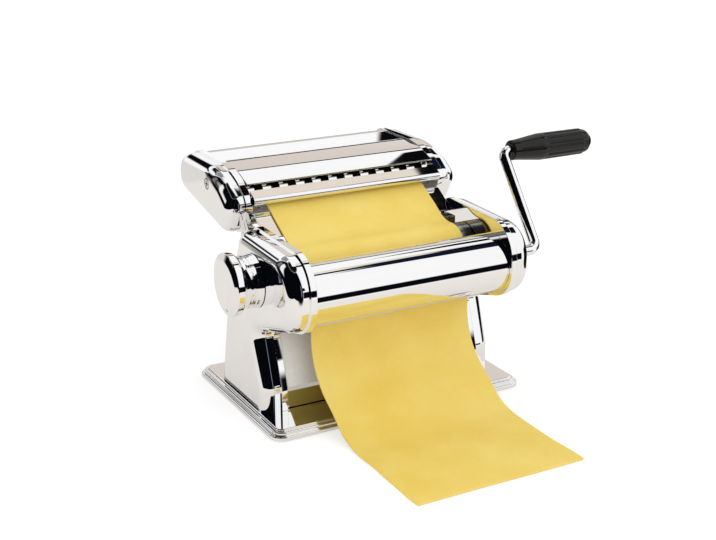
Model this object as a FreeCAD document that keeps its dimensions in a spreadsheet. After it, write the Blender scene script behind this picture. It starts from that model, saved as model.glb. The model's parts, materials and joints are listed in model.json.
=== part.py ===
"""Hand-cranked sheet roller with a double noodle cutter, as a parametric document in millimetres.

Frame: +X towards the crank, -Y the side where the rolled sheet comes out, +Z up.
Origin: the middle of the surface that the base stands on.
"""
import FreeCAD, Part
import math
import os
import Sketcher

Vec = FreeCAD.Vector
doc = FreeCAD.newDocument("sheet_roller")

# ------------------------------------------------------------------ driving sizes (mm, degrees, counts)
# a size written as text is worked out in the sheet from the others
SIZES = [
    # side frames, seen along X
    ("work_width", 150.0), ("plate_thick", 4.5), ("cover_depth", 13.5), ("cover_wall", 1.0),
    ("cover_round", 9.0), ("cover_inset", 1.5), ("side_gap", 0.1),
    ("head_y", -59.5), ("head_radius", 25.6), ("head_top_z", 129.0), ("chin_z", 79.8),
    ("throat_y", -24.4), ("throat_z", 62.4), ("knee_y", -37.5), ("knee_z", 24.5),
    ("heel_y", 42.0), ("waist_y", 30.0), ("waist_z", 66.0), ("back_top_y", 2.0), ("back_top_z", 131.3),
    ("chin_ease", 1.6), ("throat_round", 6.0), ("waist_round", 100.0), ("back_round", 10.0),
    # base
    ("base_margin", 6.5), ("base_width", "=work_width + 2 * (plate_thick + cover_depth + base_margin)"),
    ("base_depth", 137.4), ("base_corner", 9.5), ("foot_lift", 0.8),
    ("skirt_height", 3.0), ("step_inset", 2.3), ("step_height", 2.4), ("base_top", 7.5), ("base_wall", 1.0),
    ("foot_radius", 8.0), ("foot_margin", 17.0),
    # panels between the frames
    ("panel_thick", 1.2), ("panel_top_z", 60.0), ("panel_foot", 16.0), ("rear_panel_top_z", 99.5),
    ("clamp_slot_width", 30.0), ("clamp_slot_height", 7.0), ("clamp_slot_z", 11.0),
    # smooth rollers
    ("roller_y", -60.8), ("roller_z", 101.8), ("roller_radius", 16.5), ("roller_gap", 2.0),
    ("journal_radius", 7.0), ("rear_journal_radius", 6.0), ("run_fit", 0.05), ("bush_wall", 2.0),
    ("guard_y", -62.0), ("guard_z", 99.0), ("guard_radius", 20.6), ("guard_wall", 0.7),
    ("guard_start", 66.0), ("guard_sweep", 204.0), ("scraper_thick", 1.4), ("scraper_gap", 0.3),
    # gap setting
    ("gap_travel", 1.8), ("block_thick", 4.0), ("block_play", 0.4), ("yoke_reach", 27.0), ("yoke_radius", 3.5),
    ("dial_radius", 21.7), ("dial_neck", 18.2), ("dial_length", 19.4), ("dial_pull", 3.0), ("dial_seat", 5.8),
    ("spring_wire", 0.45), ("dial_turn", 270.0), ("cam_radius", 13.0), ("cam_thick", 3.0), ("cam_pin_offset", 9.8), ("cam_pin_radius", 1.5),
    ("dial_shaft_radius", 5.0),
    # gears
    ("gear_width", 4.5), ("tooth_height", 0.9), ("tooth_slope", 18.0), ("tooth_play", 0.7),
    ("roller_teeth", 16.0), ("cutter_teeth", 12.0),
    # crank
    ("crank_radius", 4.0), ("crank_arm", 77.2), ("crank_angle", 53.3), ("crank_out", 20.0), ("crank_bend", 6.0),
    ("socket_fit", 0.05), ("socket_depth", 16.0), ("drive_pin_radius", 1.4), ("hole_play", 1.5), ("socket_recess", 3.5),
    ("grip_length", 64.0), ("grip_radius", 10.0), ("grip_neck", 7.4), ("grip_taper", 25.0), ("grip_cap", 8.0),
    ("flute_radius", 1.7), ("flute_count", 14.0),
    # tie rods
    ("tie_radius", 4.0), ("stud_radius", 2.4), ("stud_play", 0.1), ("nut_flat", 8.0), ("nut_height", 4.0),
    ("front_tie_y", -18.0), ("front_tie_z", 40.0), ("heel_tie_y", 24.0), ("heel_tie_z", 30.0),
    ("top_tie_y", 4.0), ("top_tie_z", 80.0), ("lip_tie_y", 29.0), ("lip_tie_z", 126.5),
    ("tail_tie_y", 104.2), ("tail_tie_z", 150.5),
    # noodle cutter head
    ("cutter_plate", 5.0), ("cutter_y", 33.0), ("cutter_z", 144.8), ("cutter_radius", 9.5), ("cutter_bite", 1.0),
    ("fine_offset", 39.5), ("wide_pitch", 13.0), ("wide_edge", 0.2), ("fine_pitch", 4.0), ("fine_edge", 3.0),
    ("wide_rings", "=floor((work_width - 2 * wide_edge - wide_pitch / 2) / wide_pitch) + 1"),
    ("fine_rings", "=floor((work_width - 2 * fine_edge - fine_pitch / 2) / fine_pitch) + 1"),
    ("groove_depth", 1.5), ("ring_play", 0.1), ("core_end_play", 0.5), ("cutter_journal", 6.0), ("cutter_rear_journal", 5.0),
    ("cutter_back_y", 112.5), ("cutter_top_z", 163.4), ("cutter_front_y", 12.0), ("cutter_lip_z", 141.5),
    ("cutter_chin_z", 117.2), ("cutter_tail_z", 133.8), ("cutter_inset", 1.2),
    ("nose_reach", 2.2), ("nose_rise", 2.1), ("nose_round", 9.8), ("shoulder_run", 15.0), ("shoulder_drop", 7.2),
    ("shoulder_round", 30.0), ("brow_run", 28.0), ("brow_drop", 2.2), ("brow_round", 40.0), ("crown_run", 42.0),
    ("rear_top_round", 13.0), ("tail_lean", 3.5), ("tail_round", 12.0), ("chin_run", 12.0),
    ("lip_radius", 3.1), ("deck_thick", 1.2), ("comb_thick", 3.0),
    ("rail_height", 7.0), ("rail_thick", 5.4), ("rail_z", 110.0), ("rail_end_y", 36.0), ("rail_fit", 0.15),
    ("shoe_front_y", 14.0), ("shoe_wall", 1.8), ("screw_radius", 3.5), ("boss_radius", 2.6),
    # rolled dough
    ("dough_width", 126.0), ("dough_thick", 1.4), ("dough_shift", 3.0), ("dough_end_y", -185.5),
    ("dough_bend", 46.0), ("dough_drop", 55.0), ("dough_sole", 50.0), ("dough_play", 0.3),
    ("dough_slope", 31.8), ("dough_slack", 30.0), ("dough_tuck", 6.0), ("feed_length", 23.0),
]

cells = doc.addObject("Spreadsheet::Sheet", "sizes")
for row, (alias, value) in enumerate(SIZES, start=1):
    cells.set(f"A{row}", alias)
    cells.set(f"B{row}", value if isinstance(value, str) else repr(value))
    cells.setAlias(f"B{row}", alias)
doc.recompute()


class Term:
    """A length that knows its present value and the expression that drives it."""

    def __init__(self, value, text):
        self.value = float(value)
        self.text = text

    def __add__(self, other):
        other = term(other)
        return Term(self.value + other.value, f"({self.text} + {other.text})")

    def __sub__(self, other):
        other = term(other)
        return Term(self.value - other.value, f"({self.text} - {other.text})")

    def __mul__(self, other):
        other = term(other)
        return Term(self.value * other.value, f"({self.text} * {other.text})")

    def __truediv__(self, other):
        other = term(other)
        return Term(self.value / other.value, f"({self.text} / {other.text})")

    def __radd__(self, other):
        return term(other) + self

    def __rsub__(self, other):
        return term(other) - self

    def __rmul__(self, other):
        return term(other) * self

    def __neg__(self):
        return term(0) - self


def term(item):
    return item if isinstance(item, Term) else Term(item, repr(float(item)))


PI = Term(math.pi, "pi")


class Cells:
    """Reads a cell by its alias: size.work_width is a Term."""

    def __getattr__(self, alias):
        return Term(getattr(cells, alias), f"sizes.{alias}")


size = Cells()
parts = []


def keep(item, label):
    """Names a finished sub-part and puts it on the list that is written out."""
    item.Label = label
    parts.append(item)
    return item


def bind(item, prop, value):
    item.setExpression(prop, term(value).text)


def place(item, x=0, y=0, z=0):
    for axis, value in zip("xyz", (x, y, z)):
        bind(item, f"Placement.Base.{axis}", value)


# ------------------------------------------------------------------ plain solids and booleans
count = {"n": 0}


def fresh(stem):
    count["n"] += 1
    return f"{stem}_{count['n']}"


def rod(x_low, x_high, y, z, radius):
    """A cylinder along X."""
    item = doc.addObject("Part::Cylinder", fresh("rod"))
    item.Placement = FreeCAD.Placement(Vec(), FreeCAD.Rotation(Vec(0, 1, 0), 90))
    bind(item, "Radius", radius)
    bind(item, "Height", term(x_high) - x_low)
    place(item, x_low, y, z)
    return item


def post(x, y, z_low, z_high, radius):
    """A cylinder along Z."""
    item = doc.addObject("Part::Cylinder", fresh("post"))
    bind(item, "Radius", radius)
    bind(item, "Height", term(z_high) - z_low)
    place(item, x, y, z_low)
    return item


def block(x_low, x_high, y_low, y_high, z_low, z_high):
    item = doc.addObject("Part::Box", fresh("block"))
    bind(item, "Length", term(x_high) - x_low)
    bind(item, "Width", term(y_high) - y_low)
    bind(item, "Height", term(z_high) - z_low)
    place(item, x_low, y_low, z_low)
    return item


def fuse(*items):
    item = doc.addObject("Part::MultiFuse", fresh("fuse"))
    item.Shapes = list(items)
    item.Refine = True
    return item


def cut(base, *tools):
    item = doc.addObject("Part::Cut", fresh("cut"))
    item.Base = base
    item.Tool = tools[0] if len(tools) == 1 else fuse_tools(tools)
    item.Refine = True
    return item


def fuse_tools(tools):
    item = doc.addObject("Part::MultiFuse", fresh("tools"))
    item.Shapes = list(tools)
    return item


def group(*items):
    """Separate solids that share one node."""
    item = doc.addObject("Part::Compound", fresh("group"))
    item.Links = list(items)
    return item


def slot_x(x_low, x_high, y, z, radius, travel):
    """A hole along X that is stretched by travel towards -Y."""
    low_y = term(y) - travel
    return fuse_tools([rod(x_low, x_high, y, z, radius), rod(x_low, x_high, low_y, z, radius),
                       block(x_low, x_high, low_y, y, term(z) - radius, term(z) + radius)])


# ------------------------------------------------------------------ bodies made from sketches
def origin_item(body, role):
    return next(item for item in body.Origin.OriginFeatures if item.Role == role)


def new_body():
    return doc.addObject("PartDesign::Body", fresh("body"))


def attach(sketch, body, role, offset):
    sketch.AttachmentSupport = [(origin_item(body, role), "")]
    sketch.MapMode = "FlatFace"
    bind(sketch, "AttachmentOffset.Base.z", offset)


def drive(sketch, kind, index, end, value):
    """Ties one coordinate of a vertex to its size."""
    number = sketch.addConstraint(Sketcher.Constraint(kind, index, end, value.value))
    sketch.setExpression(f"Constraints[{number}]", value.text)


def outline(body, role, offset, points, arcs=None, closed=True):
    """A chain of lines through points; arcs[i] = (radius, side) bends the run from point i to the next."""
    arcs = arcs or {}
    points = [(term(u), term(v)) for u, v in points]
    sketch = body.newObject("Sketcher::SketchObject", fresh("sketch"))
    attach(sketch, body, role, offset)
    runs = len(points) if closed else len(points) - 1
    ends = []
    for i in range(runs):
        start = Vec(points[i][0].value, points[i][1].value, 0)
        stop_point = points[(i + 1) % len(points)]
        stop = Vec(stop_point[0].value, stop_point[1].value, 0)
        if i not in arcs:
            sketch.addGeometry(Part.LineSegment(start, stop))
            ends.append((1, 2))
            continue
        radius, side = arcs[i]
        radius = term(radius)
        chord = stop - start
        rise = math.sqrt(max(radius.value ** 2 - chord.Length ** 2 / 4, 0.0))
        normal = Vec(-chord.y, chord.x, 0).normalize() * side
        centre = (start + stop) * 0.5 + normal * rise
        middle = centre - normal * radius.value
        # arcs are stored anticlockwise, so a run that bends to the right is entered from its far end
        first, final = (start, stop) if side > 0 else (stop, start)
        sketch.addGeometry(Part.Arc(first, middle, final))
        ends.append((1, 2) if side > 0 else (2, 1))
        number = sketch.addConstraint(Sketcher.Constraint("Radius", i, radius.value))
        sketch.setExpression(f"Constraints[{number}]", radius.text)
    for i in range(runs - 1 if not closed else runs):
        j = (i + 1) % runs
        sketch.addConstraint(Sketcher.Constraint("Coincident", i, ends[i][1], j, ends[j][0]))
    for i in range(runs):
        drive(sketch, "DistanceX", i, ends[i][0], points[i][0])
        drive(sketch, "DistanceY", i, ends[i][0], points[i][1])
    if not closed:
        drive(sketch, "DistanceX", runs - 1, ends[-1][1], points[-1][0])
        drive(sketch, "DistanceY", runs - 1, ends[-1][1], points[-1][1])
    return sketch


def circle(body, role, offset, u, v, radius):
    u, v, radius = term(u), term(v), term(radius)
    sketch = body.newObject("Sketcher::SketchObject", fresh("sketch"))
    attach(sketch, body, role, offset)
    sketch.addGeometry(Part.Circle(Vec(u.value, v.value, 0), Vec(0, 0, 1), radius.value))
    drive(sketch, "DistanceX", 0, 3, u)
    drive(sketch, "DistanceY", 0, 3, v)
    number = sketch.addConstraint(Sketcher.Constraint("Radius", 0, radius.value))
    sketch.setExpression(f"Constraints[{number}]", radius.text)
    return sketch


def pad(body, sketch, length):
    item = body.newObject("PartDesign::Pad", fresh("pad"))
    item.Profile = sketch
    bind(item, "Length", length)
    doc.recompute()
    return item


def pocket(body, sketch, length):
    """Cuts against the sketch's normal."""
    item = body.newObject("PartDesign::Pocket", fresh("pocket"))
    item.Profile = sketch
    bind(item, "Length", length)
    doc.recompute()
    return item


def revolve(body, sketch, axis="H_Axis"):
    item = body.newObject("PartDesign::Revolution", fresh("turn"))
    item.Profile = sketch
    item.ReferenceAxis = (sketch, [axis])
    item.Angle = 360
    doc.recompute()
    return item


def around(body, feature, sketch, number, axis="N_Axis"):
    """Repeats a feature around an axis of its sketch."""
    item = body.newObject("PartDesign::PolarPattern", fresh("around"))
    item.Originals = [feature]
    item.Axis = (sketch, [axis])
    item.Angle = 360
    bind(item, "Occurrences", number)
    body.Tip = item
    doc.recompute()
    return item


def along(body, feature, sketch, length, number):
    """Repeats a feature along the sketch's horizontal axis."""
    item = body.newObject("PartDesign::LinearPattern", fresh("along"))
    item.Originals = [feature]
    item.Direction = (sketch, ["H_Axis"])
    bind(item, "Length", length)
    bind(item, "Occurrences", number)
    body.Tip = item
    doc.recompute()
    return item


def round_edges(body, base, names, radius):
    item = body.newObject("PartDesign::Fillet", fresh("round"))
    item.Base = (base, names)
    bind(item, "Radius", radius)
    doc.recompute()
    return item


def edges_along_x(shape, y, z):
    """Names of the edges parallel to X that run through (y, z)."""
    names = []
    for number, edge in enumerate(shape.Edges, start=1):
        ends = edge.Vertexes
        if len(ends) == 2 and all(abs(end.Y - y) < 1e-3 and abs(end.Z - z) < 1e-3 for end in ends):
            names.append(f"Edge{number}")
    return names


def edges_in_plane(shape, axis, level, skip=None):
    """Names of the edges that lie in the plane axis = level, without those in the plane skip."""
    names = []
    for number, edge in enumerate(shape.Edges, start=1):
        box = edge.BoundBox
        flat = abs(getattr(box, f"{axis}Min") - level) < 1e-3 and abs(getattr(box, f"{axis}Max") - level) < 1e-3
        if flat and skip:
            low, high = getattr(box, f"{skip[0]}Min"), getattr(box, f"{skip[0]}Max")
            flat = not (abs(low - skip[1]) < 1e-3 and abs(high - skip[1]) < 1e-3)
        if flat:
            names.append(f"Edge{number}")
    return names


def faces_in_plane(shape, axis, level):
    names = []
    for number, face in enumerate(shape.Faces, start=1):
        box = face.BoundBox
        if abs(getattr(box, f"{axis}Min") - level) < 1e-3 and abs(getattr(box, f"{axis}Max") - level) < 1e-3:
            names.append(f"Face{number}")
    return names


def prism(points, x_low, x_high, corners=None, arcs=None):
    """A (y, z) outline stretched from x_low to x_high; corners[i] is the radius at point i."""
    body = new_body()
    x_low, x_high = term(x_low), term(x_high)
    last = pad(body, outline(body, "YZ_Plane", x_low, points, arcs), x_high - x_low)
    for i, radius in (corners or {}).items():
        y, z = points[i]
        last = round_edges(body, last, edges_along_x(last.Shape, term(y).value, term(z).value), radius)
    return body


def turned(points, y, z, x=0, arcs=None):
    """A body of revolution about an X line through (y, z); points are (x, radius)."""
    body = new_body()
    revolve(body, outline(body, "XY_Plane", 0, points, arcs))
    place(body, x, y, z)
    return body


def tube(x_low, x_high, y, z, outer, inner):
    return cut(rod(x_low, x_high, y, z, outer), rod(term(x_low) - 1, term(x_high) + 1, y, z, inner))


# ------------------------------------------------------------------ planes and axes used all over
half = size.work_width / 2
plate_x = half + size.plate_thick
face_x = plate_x + size.cover_depth
inner_x = face_x - size.cover_wall
rear_y = size.roller_y + size.roller_radius * 2 + size.roller_gap
bar_y = rear_y + size.yoke_reach
cutter_x = half + size.cutter_plate
wide_rear_y = size.cutter_y + size.cutter_radius * 2 - size.cutter_bite
fine_y = size.cutter_y + size.fine_offset
fine_rear_y = fine_y + size.cutter_radius * 2 - size.cutter_bite
TIES = [(size.front_tie_y, size.front_tie_z), (size.heel_tie_y, size.heel_tie_z), (size.top_tie_y, size.top_tie_z)]
CUTTER_TIES = [(size.lip_tie_y, size.lip_tie_z), (size.tail_tie_y, size.tail_tie_z)]


def side_points(inset):
    """Side outline; inset draws it in from the frame's rim."""
    front = size.head_y - size.head_radius
    return [
        (front + inset, size.head_top_z - inset),
        (front + inset, size.chin_z + inset * 0.8),
        (size.throat_y + inset, size.throat_z + inset * 0.7),
        (size.knee_y + inset, size.knee_z),
        (size.knee_y + inset, size.base_top),
        (size.heel_y - inset, size.base_top),
        (size.waist_y - inset, size.waist_z),
        (size.back_top_y - inset * 0.6, size.back_top_z - inset),
    ]


def side_corners(inset):
    return {0: size.head_radius - inset, 1: size.head_radius - inset - size.chin_ease, 2: size.throat_round,
            6: size.waist_round, 7: size.back_round}


# ------------------------------------------------------------------ base
def make_base():
    body = new_body()
    levels = [
        (term(0), size.foot_lift, size.skirt_height),
        (size.step_inset, size.foot_lift + size.skirt_height, size.step_height),
        (size.step_inset * 2.1, size.foot_lift + size.skirt_height + size.step_height,
         size.base_top - size.foot_lift - size.skirt_height - size.step_height),
    ]
    for inset, z_low, height in levels:
        last = pad(body, base_outline(body, z_low, inset), height)
    for inset, z_low, height in levels:
        top = (z_low + height).value
        outer = size.base_width.value / 2 - inset.value
        names = [name for name in edges_in_plane(last.Shape, "Z", top)
                 if reaches_x(last.Shape, name, outer)]
        last = round_edges(body, last, names, size.base_wall * 0.7)
    wall = size.base_wall
    under = [(wall, size.foot_lift + size.skirt_height - wall), (size.step_inset * 2.1 + wall, size.base_top - wall)]
    for inset, z_top in under:
        pocket(body, base_outline(body, z_top, inset), z_top)
    keep(body, "base_plate")
    feet = []
    for sx in (-1, 1):
        for sy in (-1, 1):
            x = (size.base_width / 2 - size.foot_margin) * sx
            y = (size.base_depth / 2 - size.foot_margin) * sy
            feet.append(post(x, y, 0, size.base_top - wall, size.foot_radius))
    keep(group(*feet), "rubber_feet")


def base_outline(body, z, inset):
    """The base's rounded rectangle, drawn in by inset."""
    x = size.base_width / 2 - inset
    y = size.base_depth / 2 - inset
    bend = size.base_corner - inset
    points = [(x - bend, -y), (x, bend - y), (x, y - bend), (x - bend, y),
              (bend - x, y), (-x, y - bend), (-x, bend - y), (bend - x, -y)]
    return outline(body, "XY_Plane", z, points, {i: (bend, 1) for i in (0, 2, 4, 6)})


def reaches_x(shape, name, outer):
    """True for an edge of the loop whose furthest point from the middle is at |x| = outer."""
    edge = shape.Edges[int(name[4:]) - 1]
    box = edge.BoundBox
    far_x = max(abs(box.XMin), abs(box.XMax))
    far_y = max(abs(box.YMin), abs(box.YMax))
    gap = size.base_width.value / 2 - outer
    return abs(far_x - outer) < 1e-2 or abs(far_y - (size.base_depth.value / 2 - gap)) < 1e-2


# ------------------------------------------------------------------ side frames
def make_side(sign, name):
    """Frame plate and pressed cover of one side; sign is -1 on the left and +1 on the crank side."""
    low, high = (half, plate_x) if sign > 0 else (-plate_x, -half)
    plate = prism(side_points(term(0)), low, high, side_corners(term(0)))
    reach_low, reach_high = low - 1, high + 1
    holes = [
        rod(reach_low, reach_high, size.roller_y, size.roller_z, size.journal_radius + size.bush_wall),
        slot_x(reach_low, reach_high, rear_y, size.roller_z,
               size.rear_journal_radius + size.block_play, size.gap_travel),
        slot_x(reach_low, reach_high, bar_y, size.roller_z, size.yoke_radius + size.block_play, size.gap_travel),
    ]
    holes += [rod(reach_low, reach_high, y, z, size.stud_radius + size.stud_play) for y, z in TIES]
    keep(cut(plate, *holes), f"{name}_side_plate")

    low, high = (plate_x, face_x) if sign > 0 else (-face_x, -plate_x)
    inset = size.cover_inset
    points = side_points(inset)
    body = prism(points, low, high, side_corners(inset))
    outer_x, rim_x = (high.value, low.value) if sign > 0 else (low.value, high.value)
    last = body.Tip
    names = edges_in_plane(last.Shape, "X", outer_x, skip=("Z", size.base_top.value))
    last = round_edges(body, last, names, size.cover_round)
    open_faces = faces_in_plane(last.Shape, "X", rim_x) + faces_in_plane(last.Shape, "Z", size.base_top.value)
    shell = body.newObject("PartDesign::Thickness", fresh("shell"))
    shell.Base = (last, open_faces)
    shell.Reversed = True
    bind(shell, "Value", size.cover_wall)
    doc.recompute()
    if sign > 0:
        hole = rod(inner_x - 1, face_x + 1, size.roller_y, size.roller_z, size.journal_radius + size.hole_play)
    else:
        hole = rod(-face_x - 1, -inner_x + 1, rear_y, size.roller_z, size.dial_shaft_radius + size.run_fit)
    keep(cut(body, hole), f"{name}_side_cover")


def make_ties():
    """Tie rods with threaded ends, and their nuts outside the frame plates."""
    stud_x = plate_x + size.nut_height + 1
    rods = []
    nuts = []
    for y, z in TIES:
        rods.append(fuse(rod(-half, half, y, z, size.tie_radius), rod(-stud_x, stud_x, y, z, size.stud_radius)))
        for low in (plate_x, -plate_x - size.nut_height):
            nuts.append(nut(low, y, z, size.nut_flat, size.nut_height, size.stud_radius + size.run_fit))
    keep(group(*rods), "tie_rods")
    keep(group(*nuts), "tie_rod_nuts")


def nut(x_low, y, z, flat, height, bore):
    """A hexagonal nut with its axis along X."""
    body = new_body()
    radius = flat / (2 * math.cos(math.radians(30)))
    points = [(radius * math.cos(math.radians(60 * i)), radius * math.sin(math.radians(60 * i))) for i in range(6)]
    pad(body, outline(body, "YZ_Plane", 0, points), height)
    place(body, x_low, y, z)
    return cut(body, rod(x_low - 1, x_low + height + 1, y, z, bore))


# ------------------------------------------------------------------ panels between the frames
def make_panels():
    thick = size.panel_thick
    side = half - size.side_gap
    front_y = size.knee_y + size.cover_inset
    lean = (size.throat_y - size.knee_y) / (size.throat_z - size.knee_z)
    top_y = front_y + lean * (size.panel_top_z - size.knee_z)
    points = [
        (front_y + size.panel_foot, size.base_top), (front_y, size.base_top), (front_y, size.knee_z),
        (top_y, size.panel_top_z), (top_y + thick * 1.05, size.panel_top_z),
        (front_y + thick, size.knee_z - thick * 0.17), (front_y + thick, size.base_top + thick),
        (front_y + size.panel_foot, size.base_top + thick),
    ]
    panel = prism(points, -side, side, {1: 2, 2: 4})
    slot_x_half = size.clamp_slot_width / 2
    slot = block(-slot_x_half, slot_x_half, front_y - 1, front_y + thick + 1, size.clamp_slot_z,
                 size.clamp_slot_z + size.clamp_slot_height)
    keep(cut(panel, slot), "front_panel")

    back_y = size.heel_y - size.cover_inset
    lean = (size.waist_y - size.heel_y) / (size.waist_z - size.base_top)
    lean_top = (size.back_top_y - size.waist_y) / (size.back_top_z - size.waist_z)
    waist_y = size.waist_y - size.cover_inset
    top_y = waist_y + lean_top * (size.rear_panel_top_z - size.waist_z)
    points = [
        (back_y - size.panel_foot, size.base_top), (back_y, size.base_top), (waist_y, size.waist_z),
        (top_y, size.rear_panel_top_z), (top_y - thick * 1.1, size.rear_panel_top_z),
        (waist_y - thick * 1.05, size.waist_z), (back_y - thick * 1.03 + lean * thick, size.base_top + thick),
        (back_y - size.panel_foot, size.base_top + thick),
    ]
    keep(prism(points, -side, side), "rear_panel")


def make_guard():
    """The half-round cover over the front roller, two scrapers and the feed plate."""
    side = half - size.side_gap
    start = math.radians(size.guard_start.value)
    stop = start + math.radians(size.guard_sweep.value)
    outer, inner = size.guard_radius, size.guard_radius - size.guard_wall
    corners = []
    for radius, angle in ((outer, start), (outer, stop), (inner, stop), (inner, start)):
        corners.append((size.guard_y + radius * math.cos(angle), size.guard_z + radius * math.sin(angle)))
    middle = (start + stop) / 2
    far = [(size.guard_y + radius * math.cos(middle), size.guard_z + radius * math.sin(middle))
           for radius in (outer, inner)]
    points = [corners[0], far[0], corners[1], corners[2], far[1], corners[3]]
    arcs = {0: (outer, 1), 1: (outer, 1), 3: (inner, -1), 4: (inner, -1)}
    keep(prism(points, -side, side, arcs=arcs), "front_roller_cover")

    reach = size.roller_radius + size.scraper_gap
    thick = size.scraper_thick
    for name, centre_y, way, angle in (("front_scraper", size.roller_y, -1, 70), ("rear_scraper", rear_y, 1, 75)):
        tip_y = centre_y + reach * math.cos(math.radians(angle))
        tip_z = size.roller_z - reach * math.sin(math.radians(angle))
        foot_y = tip_y + 5.5 * way
        foot_z = tip_z - 11
        points = [
            (tip_y, tip_z), (foot_y, foot_z), (foot_y - 9 * way, foot_z), (foot_y - 9 * way, foot_z + thick),
            (foot_y - thick * 1.7 * way, foot_z + thick), (tip_y - thick * way, tip_z - thick * 0.8),
        ]
        if way > 0:
            points.reverse()
        keep(prism(points, -side, side), name)


# ------------------------------------------------------------------ rollers, bushes and gears
def make_rollers():
    side = half - size.side_gap * 5
    journal = size.journal_radius
    end_x = inner_x - 1
    left_end = plate_x + 1.5
    front = turned([
        (-left_end, 0), (end_x, 0), (end_x, journal), (side, journal), (side, size.roller_radius),
        (-side, size.roller_radius), (-side, journal), (-left_end, journal)], size.roller_y, size.roller_z)
    socket = rod(end_x - size.socket_depth, end_x + 1, size.roller_y, size.roller_z,
                 size.crank_radius + size.socket_fit)
    keep(cut(front, socket, drive_slot(end_x, size.roller_y, size.roller_z, journal)), "front_roller")

    journal = size.rear_journal_radius
    right_end = plate_x + size.gear_width + size.block_thick + size.block_play * 2
    left_end = plate_x + size.block_thick + size.block_play
    rear = turned([
        (-left_end, 0), (right_end, 0), (right_end, journal), (side, journal), (side, size.roller_radius),
        (-side, size.roller_radius), (-side, journal), (-left_end, journal)], rear_y, size.roller_z)
    keep(rear, "rear_roller")

    inner = size.journal_radius + size.run_fit
    outer = size.journal_radius + size.bush_wall
    bushes = [tube(low, high, size.roller_y, size.roller_z, outer, inner)
              for low, high in ((-plate_x, -half), (half, plate_x))]
    keep(group(*bushes), "front_roller_bushes")

    low = plate_x + size.block_play
    distance = rear_y - size.roller_y
    keep(gear(low, size.roller_y, size.roller_z, distance, size.roller_teeth, size.gap_travel,
              size.journal_radius, False), "front_roller_gear")
    keep(gear(low, rear_y, size.roller_z, distance, size.roller_teeth, size.gap_travel,
              size.rear_journal_radius, True), "rear_roller_gear")


def drive_slot(end_x, y, z, radius):
    """The slot across a shaft's mouth that takes the crank's drive pin."""
    play = size.drive_pin_radius + size.socket_fit * 2
    across = radius + 1
    return block(end_x - play * 2, end_x + 1, y - play, y + play, z - across, z + across)


def gear(x_low, y, z, distance, teeth, closing, bore, follower):
    """A straight gear whose long thin teeth stay clear while the centres close by closing."""
    body = new_body()
    pitch = distance / 2
    tip = pitch + size.tooth_height + closing * 0.22
    root = distance - closing - tip - 0.25
    slope = math.tan(math.radians(size.tooth_slope.value))
    # half a tooth at the pitch circle of the closed pair, less the play between flanks
    half_closed = PI * (pitch - closing / 2) / teeth / 2 - size.tooth_play / 2
    half_tip = half_closed - (tip - pitch + closing / 2) * slope
    sunk = root * 0.9
    half_sunk = half_closed + (pitch - closing / 2 - sunk) * slope
    core = circle(body, "YZ_Plane", 0, 0, 0, root)
    pad(body, core, size.gear_width)
    tooth = outline(body, "YZ_Plane", 0, [(sunk, -half_sunk), (tip, -half_tip), (tip, half_tip), (sunk, half_sunk)])
    around(body, pad(body, tooth, size.gear_width), tooth, teeth)
    if follower:
        body.Placement = FreeCAD.Placement(Vec(), FreeCAD.Rotation(Vec(1, 0, 0), 180.0 / teeth.value))
        bind(body, "Placement.Rotation.Angle", term(180) / teeth)
    place(body, x_low, y, z)
    return cut(body, rod(x_low - 1, x_low + size.gear_width + 1, y, z, bore))


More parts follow.
